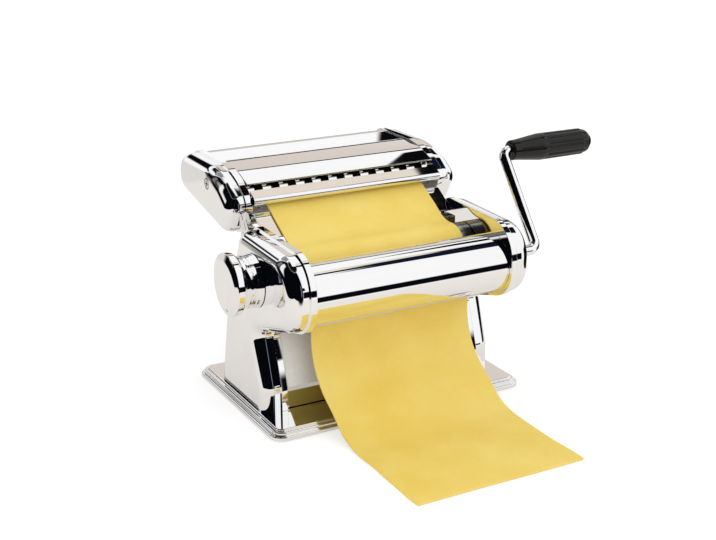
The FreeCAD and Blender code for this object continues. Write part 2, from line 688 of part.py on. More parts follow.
# ------------------------------------------------------------------ gap setting
def make_gap_setting():
    """Sliding bearing blocks joined by a bar, moved by a spiral cam on the dial's shaft."""
    z = size.roller_z
    left_low = plate_x + size.block_play
    right_low = plate_x + size.block_play * 2 + size.gear_width
    bush_inner = size.rear_journal_radius + size.run_fit
    bush_outer = size.rear_journal_radius + size.bush_wall
    eye = bush_outer + 3
    tail = size.yoke_radius + 3
    bushes = []
    for name, low, high in (("left", -left_low - size.block_thick, -left_low),
                            ("right", right_low, right_low + size.block_thick)):
        points = [(rear_y - eye, z + eye), (rear_y - eye, z - eye), (rear_y + eye, z - eye),
                  (bar_y + tail, z - tail), (bar_y + tail, z + tail), (rear_y + eye, z + eye)]
        blank = prism(points, low, high, {0: eye * 0.8, 1: eye * 0.8, 3: tail * 0.9, 4: tail * 0.9})
        holes = [rod(low - 1, high + 1, rear_y, z, bush_outer), rod(low - 1, high + 1, bar_y, z, size.yoke_radius)]
        lever = cut(blank, *holes)
        if name == "left":
            pin_y = rear_y + size.cam_pin_offset
            pin_low = low - size.cam_thick * 0.8
            lever = fuse(lever, rod(pin_low, low + size.block_thick, pin_y, z, size.cam_pin_radius))
        keep(lever, f"{name}_bearing_block")
        bushes.append(tube(low, high, rear_y, z, bush_outer, bush_inner))
    keep(group(*bushes), "rear_roller_bushes")
    keep(rod(-left_low - size.block_thick, right_low + size.block_thick, bar_y, z, size.yoke_radius), "yoke_bar")

    cam_high = -left_low - size.block_thick - size.block_play
    cam_low = cam_high - size.cam_thick
    shaft_end = -face_x - size.dial_length + 4
    shaft = rod(shaft_end, cam_low, rear_y, z, size.dial_shaft_radius)
    retainer = rod(shaft_end, shaft_end + 1.5, rear_y, z, size.dial_shaft_radius + 4)
    keep(fuse(shaft, retainer), "dial_shaft")
    disc = rod(cam_low, cam_high, rear_y, z, size.cam_radius)
    keep(cut(disc, spiral_groove(cam_high)), "dial_cam")

    depth = size.dial_length
    bore = size.dial_shaft_radius + size.run_fit
    pocket_radius = size.dial_shaft_radius + 4 + 0.4
    start = size.cover_wall * 0.4
    neck = size.dial_neck
    rim = size.dial_radius
    # the knob is drawn from the cover's face outwards, towards -X
    knob = turned([
        (-start, bore), (-start, neck + 0.6), (-depth * 0.22, neck), (-depth * 0.5, neck - 0.2),
        (-depth * 0.68, neck + 0.9), (-depth * 0.77, rim - 0.5), (-depth, rim), (-depth, pocket_radius),
        (-size.dial_seat, pocket_radius), (-size.dial_seat, bore)], rear_y, z, -face_x)
    keep(knob, "dial_knob")
    bevel = size.dial_radius * 0.07
    cap = turned([(-depth, 0), (-depth, rim - 0.1), (-depth - bevel, rim - bevel), (-depth - bevel - 0.6, 0)],
                 rear_y, z, -face_x)
    index = rod(-face_x - depth - bevel - 2, -face_x - depth - bevel + 0.4, rear_y - 3,
                z - size.dial_radius * 0.78, 1.1)
    keep(cut(cap, index), "dial_cap")
    make_dial_spring(shaft_end + 1.5)


def spiral_groove(x_face):
    """The cam's groove: its radius falls evenly as the dial turns, and it is open towards the block."""
    pin = size.cam_pin_radius.value + 0.15
    start = size.cam_pin_offset.value
    fall = size.gap_travel.value
    turn = math.radians(size.dial_turn.value)
    steps = 24
    inner, outer = [], []
    for i in range(-1, steps + 2):
        share = i / steps
        radius = start - fall * share
        angle = -turn * share
        direction = Vec(0, math.cos(angle), math.sin(angle))
        inner.append(direction * (radius - pin))
        outer.append(direction * (radius + pin))
    walls = []
    for line in (inner, outer):
        curve = Part.BSplineCurve()
        curve.interpolate(line)
        walls.append(curve.toShape())
    ends = [Part.LineSegment(outer[-1], inner[-1]).toShape(), Part.LineSegment(outer[0], inner[0]).toShape()]
    face = Part.Face(Part.Wire(Part.__sortEdges__([walls[0], ends[0], walls[1], ends[1]])))
    item = doc.addObject("Part::Feature", fresh("groove"))
    item.Shape = face.extrude(Vec(-size.cam_thick.value * 0.9 - 1, 0, 0))
    place(item, x_face + 1, rear_y, size.roller_z)
    return item


SPRING_SIDES = 6
SPRING_STEP = 24


def make_dial_spring(x_low):
    """The spring behind the dial's pull, as closely wound as it is with the dial pulled out, its wire six-sided."""
    wire = size.spring_wire.value
    coil = (size.dial_shaft_radius + size.block_play).value + wire * 2
    room = -face_x - size.dial_seat - x_low - size.dial_pull
    height = (room - size.spring_wire * 2 - size.block_play).value
    turns = int(height / (wire * 2.3))
    steps = turns * 360 // SPRING_STEP
    rings = []
    for i in range(steps + 1):
        angle = math.radians(i * SPRING_STEP)
        out = Vec(0, math.cos(angle), math.sin(angle))
        along_wire = Vec(height / turns / (2 * math.pi * coil), -math.sin(angle), math.cos(angle)).normalize()
        across = out.cross(along_wire)
        middle = out * coil + Vec(height * i / steps, 0, 0)
        corners = []
        for k in range(SPRING_SIDES + 1):
            turn = 2 * math.pi * k / SPRING_SIDES
            corners.append(middle + (out * math.cos(turn) + across * math.sin(turn)) * wire)
        rings.append(Part.makePolygon(corners))
    item = doc.addObject("Part::Feature", fresh("spring"))
    item.Shape = Part.makeLoft(rings, True, True)
    place(item, x_low + size.dial_pull + size.spring_wire + size.block_play / 2, rear_y, size.roller_z)
    keep(item, "dial_spring")


# ------------------------------------------------------------------ crank
def make_crank():
    body = new_body()
    inner = inner_x - 1 - size.socket_depth + 2
    arm_x = face_x + size.crank_out
    grip_x = arm_x + size.crank_bend
    tail_x = grip_x + size.grip_length - 4
    bend = size.crank_bend
    arm = size.crank_arm
    points = [(inner, 0), (arm_x - bend, 0), (arm_x, bend), (arm_x, arm - bend), (arm_x + bend, arm), (tail_x, arm)]
    path = outline(body, "XY_Plane", 0, points, {1: (bend, 1), 3: (bend, -1)}, closed=False)
    profile = circle(body, "YZ_Plane", inner, 0, 0, size.crank_radius)
    pipe = body.newObject("PartDesign::AdditivePipe", fresh("pipe"))
    pipe.Profile = profile
    pipe.Spine = path
    doc.recompute()
    body.Placement = FreeCAD.Placement(Vec(), FreeCAD.Rotation(Vec(1, 0, 0), size.crank_angle.value))
    bind(body, "Placement.Rotation.Angle", size.crank_angle)
    place(body, 0, size.roller_y, size.roller_z)
    pin_x = inner_x - 1 - size.drive_pin_radius - 0.1
    pin_half = size.cutter_journal - 0.5
    hole = post(pin_x, size.roller_y, size.roller_z - pin_half - 1, size.roller_z + pin_half + 1,
                size.drive_pin_radius)
    keep(cut(body, hole), "crank_rod")
    keep(post(pin_x, size.roller_y, size.roller_z - pin_half, size.roller_z + pin_half,
              size.drive_pin_radius), "crank_drive_pin")
    make_grip(grip_x)


def make_grip(low_x):
    angle = math.radians(size.crank_angle.value)
    y = size.roller_y + size.crank_arm * math.cos(angle)
    z = size.roller_z + size.crank_arm * math.sin(angle)
    bore = size.crank_radius + size.socket_fit * 2
    length, neck, wide, taper = size.grip_length, size.grip_neck, size.grip_radius, size.grip_taper
    body = new_body()
    start = term(0.3)
    profile = [(start, bore), (start, neck - 1), (start + 1.2, neck), (taper, wide), (length, wide - 0.2),
               (length, bore)]
    revolve(body, outline(body, "XY_Plane", 0, profile))
    flute = circle(body, "YZ_Plane", length + 1, wide + size.flute_radius * 0.62, 0, size.flute_radius)
    groove = pocket(body, flute, length - taper - 2)
    around(body, groove, flute, size.flute_count)
    place(body, low_x, y, z)
    keep(body, "crank_grip")
    cap_radius = wide - 1.1
    cap_length = size.grip_cap
    cap = turned([(length - 2.5, 0), (length - 2.5, size.crank_radius - 0.2), (length, size.crank_radius - 0.2),
                  (length, cap_radius), (length + cap_length * 0.45, cap_radius),
                  (length + cap_length, cap_radius * 0.45), (length + cap_length, 0)],
                 y, z, low_x, {4: (cap_radius * 0.62, -1)})
    keep(cap, "grip_cap")


# ------------------------------------------------------------------ noodle cutter head
def cutter_points(inset):
    """Side outline of the cutter head; inset draws it in."""
    front = size.cutter_front_y
    back = size.cutter_back_y
    top = size.cutter_top_z - inset
    return [
        (front - size.nose_reach + inset, size.cutter_lip_z + size.nose_rise - inset * 0.3),
        (front + size.shoulder_run + inset * 0.3, top - size.shoulder_drop),
        (front + size.brow_run, top - size.brow_drop),
        (front + size.crown_run, top),
        (back - inset, top),
        (back - size.tail_lean - inset, size.cutter_tail_z + inset * 0.8),
        (front + size.chin_run + inset * 0.6, size.cutter_chin_z + inset),
    ]


CUTTER_CORNERS = {0: size.nose_round, 1: size.shoulder_round, 2: size.brow_round, 3: size.brow_round,
                  4: size.rear_top_round, 5: size.tail_round, 6: size.tail_round}


def make_cutter_side(sign, name):
    low, high = (half, cutter_x) if sign > 0 else (-cutter_x, -half)
    plate = prism(cutter_points(term(0)), low, high, CUTTER_CORNERS)
    standoff = screw_place(sign)
    boss_low, boss_high = (cutter_x, inner_x) if sign > 0 else (-inner_x, -cutter_x)
    if sign > 0:
        plate = fuse(plate, rod(cutter_x - 1, boss_high, standoff[0], standoff[1], size.boss_radius))
    else:
        plate = fuse(plate, rod(boss_low, -cutter_x + 1, standoff[0], standoff[1], size.boss_radius))
    holes = [rod(low - 1, high + 1, y, size.cutter_z, bush_radius(y, sign)) for y in cutter_axes()]
    holes += [rod(low - 1, high + 1, y, z, size.stud_radius + size.stud_play) for y, z in CUTTER_TIES]
    stem_low, stem_high = (inner_x - 7, inner_x + 1) if sign > 0 else (-inner_x - 1, -inner_x + 7)
    holes.append(rod(stem_low, stem_high, standoff[0], standoff[1], size.screw_radius / 2))
    keep(cut(plate, *holes), f"cutter_{name}_plate")

    low, high = (cutter_x, face_x) if sign > 0 else (-face_x, -cutter_x)
    inset = size.cutter_inset
    body = prism(cutter_points(inset), low, high, CUTTER_CORNERS)
    outer_x, rim_x = (high.value, low.value) if sign > 0 else (low.value, high.value)
    last = round_edges(body, body.Tip, edges_in_plane(body.Tip.Shape, "X", outer_x), size.cover_round)
    shell = body.newObject("PartDesign::Thickness", fresh("shell"))
    shell.Base = (last, faces_in_plane(last.Shape, "X", rim_x))
    shell.Reversed = True
    bind(shell, "Value", size.cover_wall)
    doc.recompute()
    head_low, head_high = (inner_x - 1, face_x + 1) if sign > 0 else (-face_x - 1, -inner_x + 1)
    holes = [rod(head_low, head_high, standoff[0], standoff[1], size.screw_radius + size.run_fit)]
    if sign > 0:
        holes += [rod(head_low, head_high, y, size.cutter_z, size.cutter_journal + size.hole_play)
                  for y in (size.cutter_y, fine_y)]
    keep(cut(body, *holes), f"cutter_{name}_cover")


def screw_place(sign):
    """(y, z) of the cover's screw: above the wide cutter on the left, clear of the gears on the crank side."""
    if sign < 0:
        return size.cutter_y + 18.7, size.cutter_z + 5.7
    return (wide_rear_y + fine_y) / 2, size.cutter_z - 7.2


def cutter_axes():
    return [size.cutter_y, wide_rear_y, fine_y, fine_rear_y]


def is_driver(y):
    return y.text in (size.cutter_y.text, fine_y.text)


def journal_of(y, sign):
    return size.cutter_journal if is_driver(y) and sign > 0 else size.cutter_rear_journal


def bush_radius(y, sign):
    return journal_of(y, sign) + size.bush_wall


def make_cutter_screws():
    """Countersunk cross-head screws that hold the cutter covers to their standoffs."""
    screws = []
    for sign in (-1, 1):
        y, z = screw_place(sign)
        head, stem = size.screw_radius, size.screw_radius / 2
        if sign < 0:
            points = [(-face_x, 0), (-face_x, head), (-inner_x, head), (-inner_x, stem), (-inner_x + 6, stem),
                      (-inner_x + 6, 0)]
            cross_low, cross_high = -face_x - 1, -face_x + 0.9
        else:
            points = [(inner_x - 6, 0), (inner_x - 6, stem), (inner_x, stem), (inner_x, head), (face_x, head),
                      (face_x, 0)]
            cross_low, cross_high = face_x - 0.9, face_x + 1
        body = turned(points, y, z)
        arm, width = head * 0.62, 0.45
        screws.append(cut(body, block(cross_low, cross_high, y - arm, y + arm, z - width, z + width),
                          block(cross_low, cross_high, y - width, y + width, z - arm, z + arm)))
    keep(group(*screws), "cutter_cover_screws")


def make_cutter(name, y, driver, pitch, number, phase):
    """A cutting roller: a core with rings; its partner's rings run in its grooves."""
    side = half - size.core_end_play
    core = size.cutter_radius - size.groove_depth
    right = inner_x - size.socket_recess if driver else cutter_x + size.block_play * 2 + size.gear_width
    left = cutter_x - 0.5
    journal_left = size.cutter_rear_journal
    journal_right = size.cutter_journal if driver else size.cutter_rear_journal
    body = new_body()
    revolve(body, outline(body, "XY_Plane", 0, [
        (-left, 0), (right, 0), (right, journal_right), (side, journal_right), (side, core), (-side, core),
        (-side, journal_left), (-left, journal_left)]))
    ring_half = pitch / 4 - size.ring_play / 2
    first = -(pitch * (number - 1)) / 2 + phase
    ring = outline(body, "XY_Plane", 0, [
        (first - ring_half, core - 0.5), (first + ring_half, core - 0.5),
        (first + ring_half, size.cutter_radius), (first - ring_half, size.cutter_radius)])
    along(body, revolve(body, ring), ring, pitch * (number - 1), number)
    place(body, 0, y, size.cutter_z)
    if driver:
        socket = rod(right - size.socket_depth, right + 1, y, size.cutter_z, size.crank_radius + size.socket_fit)
        body = cut(body, socket, drive_slot(right, y, size.cutter_z, journal_right))
    keep(body, name)


def make_cutters():
    make_cutter("wide_cutter_front", size.cutter_y, True, size.wide_pitch, size.wide_rings, term(0))
    make_cutter("wide_cutter_rear", wide_rear_y, False, size.wide_pitch, size.wide_rings - 1, term(0))
    make_cutter("fine_cutter_front", fine_y, True, size.fine_pitch, size.fine_rings, term(0))
    make_cutter("fine_cutter_rear", fine_rear_y, False, size.fine_pitch, size.fine_rings - 1, term(0))
    bushes = []
    for sign in (-1, 1):
        low, high = (half, cutter_x) if sign > 0 else (-cutter_x, -half)
        for y in cutter_axes():
            bushes.append(tube(low, high, y, size.cutter_z, bush_radius(y, sign), journal_of(y, sign) + size.run_fit))
    keep(group(*bushes), "cutter_bushes")
    distance = wide_rear_y - size.cutter_y
    low = cutter_x + size.block_play
    for name, y, follower in (("wide_front_gear", size.cutter_y, False), ("wide_rear_gear", wide_rear_y, True),
                              ("fine_front_gear", fine_y, False), ("fine_rear_gear", fine_rear_y, True)):
        keep(gear(low, y, size.cutter_z, distance, size.cutter_teeth, term(0), journal_of(y, 1), follower), name)


def make_combs():
    """Bars with fingers that lie in the grooves and lift the noodles off the cutting rollers."""
    side = half - size.side_gap
    for name, front, rear, pitch, number in (
            ("wide_combs", size.cutter_y, wide_rear_y, size.wide_pitch, size.wide_rings),
            ("fine_combs", fine_y, fine_rear_y, size.fine_pitch, size.fine_rings)):
        bars = []
        for y, way, fingers in ((front, 1, number - 1), (rear, -1, number)):
            foot_z = size.cutter_z - 17
            bar_y_low = y + 4.2 if way > 0 else y - 4.2 - size.comb_thick
            body = new_body()
            x_low = -side
            pad(body, outline(body, "YZ_Plane", x_low, [(bar_y_low, foot_z), (bar_y_low + size.comb_thick, foot_z),
                                                       (bar_y_low + size.comb_thick, foot_z + 4), (bar_y_low, foot_z + 4)]),
                side * 2)
            finger_half = pitch / 4 - size.ring_play - 0.2
            first = -(pitch * (fingers - 1)) / 2
            tip_y = y + 6.2 * way
            tip_z = size.cutter_z - 6.2
            points = [(bar_y_low, foot_z + 3.5), (bar_y_low + size.comb_thick, foot_z + 3.5), (tip_y + 0.5, tip_z - 1),
                      (tip_y, tip_z), (tip_y - 0.5, tip_z - 1)]
            tooth = pad(body, outline(body, "YZ_Plane", first - finger_half, points), finger_half * 2)
            guide = outline(body, "XY_Plane", 0, [(0, 0), (1, 0), (1, 1)])
            along(body, tooth, guide, pitch * (fingers - 1), fingers)
            bars.append(body)
        keep(group(*bars), name)


def make_decks():
    """Front guide with its round lip, and the two top covers with the feed slots between them."""
    side = half - size.side_gap
    thick = size.deck_thick
    lip_y = size.cutter_front_y + 0.7
    lip_z = size.cutter_lip_z + size.lip_radius + 0.3
    lip = rod(-side, side, lip_y, lip_z, size.lip_radius)
    slope = prism([(lip_y - 1.6, lip_z + 2.6), (lip_y + 1.6, lip_z + 0.4), (size.cutter_y - 12.9, size.cutter_top_z - 10.8),
                   (size.cutter_y - 13.7, size.cutter_top_z - 9.7)], -side, side)
    keep(fuse(lip, slope), "front_guide")

    top = size.cutter_top_z
    centre = [(size.cutter_y - 11.5, top - 8.6), (size.cutter_y + 5, top - 2.6), (fine_y - 12.2, top - 1.1),
              (fine_y - 12.2, top - 1.1 - thick), (size.cutter_y + 5.2, top - 2.6 - thick),
              (size.cutter_y - 10.9, top - 8.6 - thick)]
    keep(prism(centre, -side, side), "centre_cover")

    rear_edge = size.cutter_back_y - 9
    rear = [(fine_y - 9.6, top - 0.9), (rear_edge, top - 0.5), (size.cutter_back_y - 3, top - 7),
            (size.cutter_back_y - 2.4, top - 22), (size.cutter_back_y - 2.4 - thick, top - 22),
            (size.cutter_back_y - 3 - thick, top - 7.4), (rear_edge - 0.5, top - 0.5 - thick),
            (fine_y - 9.6, top - 0.9 - thick)]
    keep(prism(rear, -side, side), "rear_cover")


def make_cutter_ties():
    radius = size.tie_radius - 0.5
    stud_x = cutter_x + size.nut_height * 0.8 + 1
    rods = []
    nuts = []
    for y, z in CUTTER_TIES:
        rods.append(fuse(rod(-half, half, y, z, radius), rod(-stud_x, stud_x, y, z, size.stud_radius)))
        for low in (cutter_x, -cutter_x - size.nut_height * 0.8):
            nuts.append(nut(low, y, z, size.nut_flat * 0.8, size.nut_height * 0.8, size.stud_radius + size.run_fit))
    keep(group(*rods), "cutter_tie_rods")
    keep(group(*nuts), "cutter_tie_nuts")


def make_rails():
    """Rails on the frame and the shoes under the cutter head that slide on them along Y."""
    fit = size.rail_fit
    rails = []
    shoes = []
    for sign in (-1, 1):
        inner, outer = (half - size.rail_thick) * sign, half * sign
        x_low, x_high = (inner, outer) if sign > 0 else (outer, inner)
        rails.append(block(x_low, x_high, size.back_top_y - 6, size.rail_end_y, size.rail_z,
                           size.rail_z + size.rail_height))
        wall = half - size.rail_thick - fit - size.shoe_wall
        shoe_low, shoe_high = (wall, half) if sign > 0 else (-half, -wall)
        groove_low, groove_high = (half - size.rail_thick - fit, half + 1) if sign > 0 else \
            (-half - 1, -half + size.rail_thick + fit)
        body = block(shoe_low, shoe_high, size.shoe_front_y, size.rail_end_y, size.rail_z - size.shoe_wall,
                     size.cutter_chin_z + 4.8)
        groove = block(groove_low, groove_high, size.shoe_front_y - 1, size.rail_end_y + 1, size.rail_z - fit,
                       size.rail_z + size.rail_height + fit)
        shoes.append(cut(body, groove))
    keep(group(*rails), "cutter_rails")
    keep(group(*shoes), "cutter_shoes")


# ------------------------------------------------------------------ dough and its feed plate
def band(path, label, x_low, x_high):
    """A strip of dough: the path thickened to both sides and stretched along X."""
    thick = size.dough_thick.value
    wire = Part.Wire([edge.toShape() for edge in path])
    face = thicken(wire, thick)
    item = doc.addObject("Part::Feature", fresh("dough"))
    item.Shape = face.extrude(Vec(x_high.value - x_low.value, 0, 0))
    place(item, x_low, 0, 0)
    return keep(item, label)


def thicken(wire, thick):
    """A face around a wire in the plane x = 0."""
    left = wire.makeOffset2D(thick / 2, 0, False, True, False)
    right = wire.makeOffset2D(-thick / 2, 0, False, True, False)
    ends = []
    for index in (0, -1):
        ends.append(Part.makeLine(left.OrderedVertexes[index].Point, right.OrderedVertexes[index].Point))
    edges = left.Edges + right.Edges + ends
    return Part.Face(Part.Wire(Part.__sortEdges__(edges)))


def make_dough():
    """The sheet on its way into the rollers, and the sheet that has come out and lies on the table."""
    width = size.dough_width
    play = size.dough_play.value
    thick = size.dough_thick.value
    # above: a straight run down the feed plate, a slack bend, then round the rear roller to the nip
    centre = Vec(0, rear_y.value - size.gap_travel.value, size.roller_z.value)
    radius = size.roller_radius.value + play + thick / 2
    slope = math.radians(size.dough_slope.value)
    slack = size.dough_slack.value
    run = Vec(0, math.cos(slope), math.sin(slope))
    rise = Vec(0, -math.sin(slope), math.cos(slope))
    lip = Vec(0, size.cutter_front_y.value + 1, size.cutter_lip_z.value - 4)
    top = lip + run * size.dough_tuck.value
    level = (lip - centre).dot(rise)
    shift = math.sqrt((slack + radius) ** 2 - (slack + level) ** 2)
    leave = centre + run * shift + rise * level
    hollow = leave + rise * slack
    touch = (hollow - centre).normalize()
    stop = math.pi - math.asin(6.8 / radius)
    turn_start = math.atan2(touch.z, touch.y)
    sag_middle = hollow - (rise + touch).normalize() * slack

    def on_roller(angle):
        return centre + Vec(0, math.cos(angle), math.sin(angle)) * radius

    path = [Part.LineSegment(top, leave), Part.Arc(leave, sag_middle, on_roller(turn_start)),
            Part.Arc(on_roller(turn_start), on_roller((turn_start + stop) / 2), on_roller(stop))]
    band(path, "dough_sheet_upper", -width / 2, width / 2)

    # below: down, forwards over the base and flat on the table
    nip_y = size.roller_y.value + size.roller_radius.value + 0.1
    drop = math.radians(size.dough_drop.value)
    bend_radius = size.dough_bend.value
    sole_radius = size.dough_sole.value
    floor = thick / 2 + 0.2
    tilt = math.pi / 2 - drop
    sole_rise = sole_radius * (1 - math.cos(tilt))
    a = Vec(0, nip_y, size.roller_z.value - 6.8)
    b = Vec(0, nip_y, size.throat_z.value - 1.2)
    middle = Vec(0, b.y - bend_radius * (1 - math.cos(drop / 2)), b.z - bend_radius * math.sin(drop / 2))
    c = Vec(0, b.y - bend_radius * (1 - math.cos(drop)), b.z - bend_radius * math.sin(drop))
    run_length = (c.z - floor - sole_rise) / math.sin(tilt)
    d = c + Vec(0, -math.cos(tilt), -math.sin(tilt)) * run_length
    e = Vec(0, d.y - sole_radius * math.sin(tilt), floor)
    sole_mid = Vec(0, e.y + sole_radius * math.sin(tilt / 2), floor + sole_radius * (1 - math.cos(tilt / 2)))
    f = Vec(0, size.dough_end_y.value, floor)
    path = [Part.LineSegment(a, b), Part.Arc(b, middle, c), Part.LineSegment(c, d), Part.Arc(d, sole_mid, e),
            Part.LineSegment(e, f)]
    band(path, "dough_sheet_lower", size.dough_shift - width / 2, size.dough_shift + width / 2)

    # the feed plate lies just under the straight run
    plate_mid = thick / 2 + play + size.panel_thick.value / 2
    start = lip - rise * plate_mid - run * 2
    finish = start - run * size.feed_length.value
    item = doc.addObject("Part::Feature", fresh("feed"))
    side = (half - size.side_gap).value
    normal = rise * (size.panel_thick.value / 2)
    corners = [start + normal, start - normal, finish - normal, finish + normal, start + normal]
    item.Shape = Part.Face(Part.makePolygon(corners)).extrude(Vec(2 * side, 0, 0))
    place(item, -side, 0, 0)
    keep(item, "feed_plate")


# ------------------------------------------------------------------ build, check and write
make_base()
make_side(-1, "left")
make_side(1, "right")
make_ties()
make_panels()
make_guard()
make_rollers()
make_gap_setting()
make_crank()
make_cutter_side(-1, "left")
make_cutter_side(1, "right")
make_cutter_screws()
make_cutters()
make_combs()
make_decks()
make_cutter_ties()
make_rails()
make_dough()
doc.recompute()

problems = [f"{item.Label}: {item.State}" for item in doc.Objects
            if any(word in item.State for word in ("Invalid", "Error"))]
for item in parts:
    if item.Shape.isNull() or not item.Shape.isValid():
        problems.append(f"{item.Label}: bad shape")
if problems:
    raise RuntimeError("; ".join(problems))

os.makedirs("parts", exist_ok=True)
for item in parts:
    item.Shape.exportStep(f"parts/{item.Label}.step")
    print(f"{item.Label:24s} solids {len(item.Shape.Solids):3d}  volume {item.Shape.Volume:10.1f}")
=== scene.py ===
import json
import math

import bmesh
import bpy
from mathutils import Matrix, Quaternion, Vector

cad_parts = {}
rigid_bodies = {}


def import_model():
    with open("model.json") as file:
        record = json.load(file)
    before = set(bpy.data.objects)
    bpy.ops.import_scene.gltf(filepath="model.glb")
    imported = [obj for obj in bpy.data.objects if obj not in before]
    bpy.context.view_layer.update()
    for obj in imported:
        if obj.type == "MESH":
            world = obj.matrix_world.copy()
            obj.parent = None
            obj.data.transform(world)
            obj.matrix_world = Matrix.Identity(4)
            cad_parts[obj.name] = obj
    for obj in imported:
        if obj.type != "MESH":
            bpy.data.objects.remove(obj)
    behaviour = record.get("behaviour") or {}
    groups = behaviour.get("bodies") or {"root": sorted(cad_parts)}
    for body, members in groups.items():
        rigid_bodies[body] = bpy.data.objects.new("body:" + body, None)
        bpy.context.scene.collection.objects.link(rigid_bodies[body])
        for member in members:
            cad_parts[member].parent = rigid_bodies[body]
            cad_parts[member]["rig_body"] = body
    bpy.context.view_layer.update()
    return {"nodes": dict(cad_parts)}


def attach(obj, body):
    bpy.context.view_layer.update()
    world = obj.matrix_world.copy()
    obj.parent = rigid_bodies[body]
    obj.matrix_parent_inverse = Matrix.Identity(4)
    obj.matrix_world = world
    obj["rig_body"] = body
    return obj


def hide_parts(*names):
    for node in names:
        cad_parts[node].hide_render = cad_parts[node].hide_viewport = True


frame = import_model()
scene = bpy.context.scene
scene.view_settings.view_transform = "Standard"

# ------------------------------------------------------------------ camera
# A short telephoto lens at table height plus a hand, in front of the dial's side and looking a little down.
camera_data = bpy.data.cameras.new("camera")
camera_data.lens = 65.25
camera_data.sensor_width = 36.0
camera = bpy.data.objects.new("camera", camera_data)
scene.collection.objects.link(camera)
scene.camera = camera
camera.location = (-0.4229, -0.7801, 0.3851)
look = Vector((0.01596, 0.02851, 0.07527)) - camera.location
camera.rotation_mode = "QUATERNION"
camera.rotation_quaternion = look.to_track_quat("-Z", "Y") @ Quaternion((0, 0, 1), math.radians(-0.17))

# ------------------------------------------------------------------ studio
# A white sweep under one big overhead softbox. Chrome shows what stands around it, so the studio has white
# walls to the right and behind, and black flags in front, to the left and overhead that draw the dark bands.
# Small black and pale flags stand before the white walls.


def linear(code):
    """An sRGB hex colour as linear values."""
    values = [int(code[i:i + 2], 16) / 255 for i in (1, 3, 5)]
    return tuple(v / 12.92 if v <= 0.04045 else ((v + 0.055) / 1.055) ** 2.4 for v in values) + (1.0,)


def node(tree, kind, sockets=None, **settings):
    """Adds a node: settings are its attributes, sockets its inputs, each a value or another node's output."""
    item = tree.nodes.new(kind)
    for key, value in settings.items():
        setattr(item, key, value)
    for key, value in (sockets or {}).items():
        if isinstance(value, bpy.types.NodeSocket):
            tree.links.new(value, item.inputs[key])
        else:
            item.inputs[key].default_value = value
    return item


world = bpy.data.worlds.new("studio")
scene.world = world
world.use_nodes = True
tree = world.node_tree
tree.nodes.clear()
way = node(tree, "ShaderNodeSeparateXYZ", {0: node(tree, "ShaderNodeTexCoord").outputs["Generated"]})
back = node(tree, "ShaderNodeMath", {0: way.outputs["Y"], 1: -1.0}, operation="MULTIPLY")
turn = node(tree, "ShaderNodeMath", {0: way.outputs["X"], 1: back.outputs[0]}, operation="ARCTAN2")
rise = node(tree, "ShaderNodeMath", {0: way.outputs["Z"]}, operation="ARCSINE")
# each flag: middle and half width around the object (0 = front, 90 = crank side), lowest and highest
# elevation, softness of its edge (all in degrees) and its colour
FLAGS = [
    (-66, 86, -95, 68, 2.5, "#06070B"),
    (-66, 90, 7.5, 16, 0.5, "#06070B"),
    (0, 181, 68, 95, 2.5, "#0A0B10"),
    (130, 42, 60, 95, 3, "#FFFFFF"),
    (90, 7, 50, 70, 1, "#0B0B0E"),
    (88, 16, 50, 62.8, 1, "#10162B"),
    (108, 6, 55, 67, 1, "#EADFD2"),
    (101, 6.5, 50, 58.6, 0.15, "#0A0A0C"),
    (129, 5.9, 43, 50, 0.15, "#0A0A0C"),
    (143, 7.4, 12, 16.8, 0.15, "#0A0A0C"),
    (98, 36, -25, 6, 1.5, "#0A0A0C"),
    (148, 15, 18.5, 33.5, 1.5, "#DCD2CA"),
    (148, 15, 33.5, 37.5, 1, "#0B0B0E"),
    (155, 14, -30, 8, 4, "#C9C3BD"),
    (-175, 20, 22, 28, 1.5, "#0A0A0C"),
    (-175, 20, 38, 42, 1.5, "#0A0A0C"),
    (-175, 20, 43, 62, 2, "#8E8E90"),
    (-172, 22, -30, 8, 5, "#E2DFDA"),
    (-125, 8, 8, 50, 3, "#F4F4F4"),
    (-141, 4, 10, 40, 2, "#77777B"),
    (30, 9, -14, 3.5, 1.5, "#08090D"),
    (9, 1.5, -8, 24, 1.5, "#8C98B4"),
]
WHITE, WALLS = (1.0, 1.0, 1.0, 1.0), (0.95, 0.95, 0.95, 1.0)
shade = WHITE
for middle, half, low, high, soft, code in FLAGS:
    middle, half, low, high, soft = (math.radians(v) for v in (middle, half, low, high, soft))
    off = node(tree, "ShaderNodeMath", {0: turn.outputs[0], 1: middle}, operation="SUBTRACT")
    off = node(tree, "ShaderNodeMath", {0: off.outputs[0], 1: math.pi, 2: -math.pi}, operation="WRAP")
    off = node(tree, "ShaderNodeMath", {0: off.outputs[0]}, operation="ABSOLUTE")
    inside = 1.0
    for bearing, none, full in ((off, half + soft, half - soft), (rise, low - soft, low + soft),
                                (rise, high + soft, high - soft)):
        edge = node(tree, "ShaderNodeMapRange", {"Value": bearing.outputs[0], "From Min": none, "From Max": full},
                    interpolation_type="SMOOTHSTEP")
        inside = node(tree, "ShaderNodeMath", {0: inside, 1: edge.outputs[0]}, operation="MULTIPLY").outputs[0]
    shade = node(tree, "ShaderNodeMix", {0: inside, 6: shade, 7: linear(code)}, data_type="RGBA").outputs[2]
# the camera sees plain white, metal sees the flags, and everything else is lit by the walls
path = node(tree, "ShaderNodeLightPath")
plain = node(tree, "ShaderNodeMix", {0: path.outputs["Is Camera Ray"], 6: WALLS, 7: WHITE}, data_type="RGBA")
seen = node(tree, "ShaderNodeMix", {0: path.outputs["Is Glossy Ray"], 6: plain.outputs[2], 7: shade},
            data_type="RGBA").outputs[2]
sky = node(tree, "ShaderNodeBackground", {"Color": seen, "Strength": 1.0})
node(tree, "ShaderNodeOutputWorld", {"Surface": sky.outputs[0]})

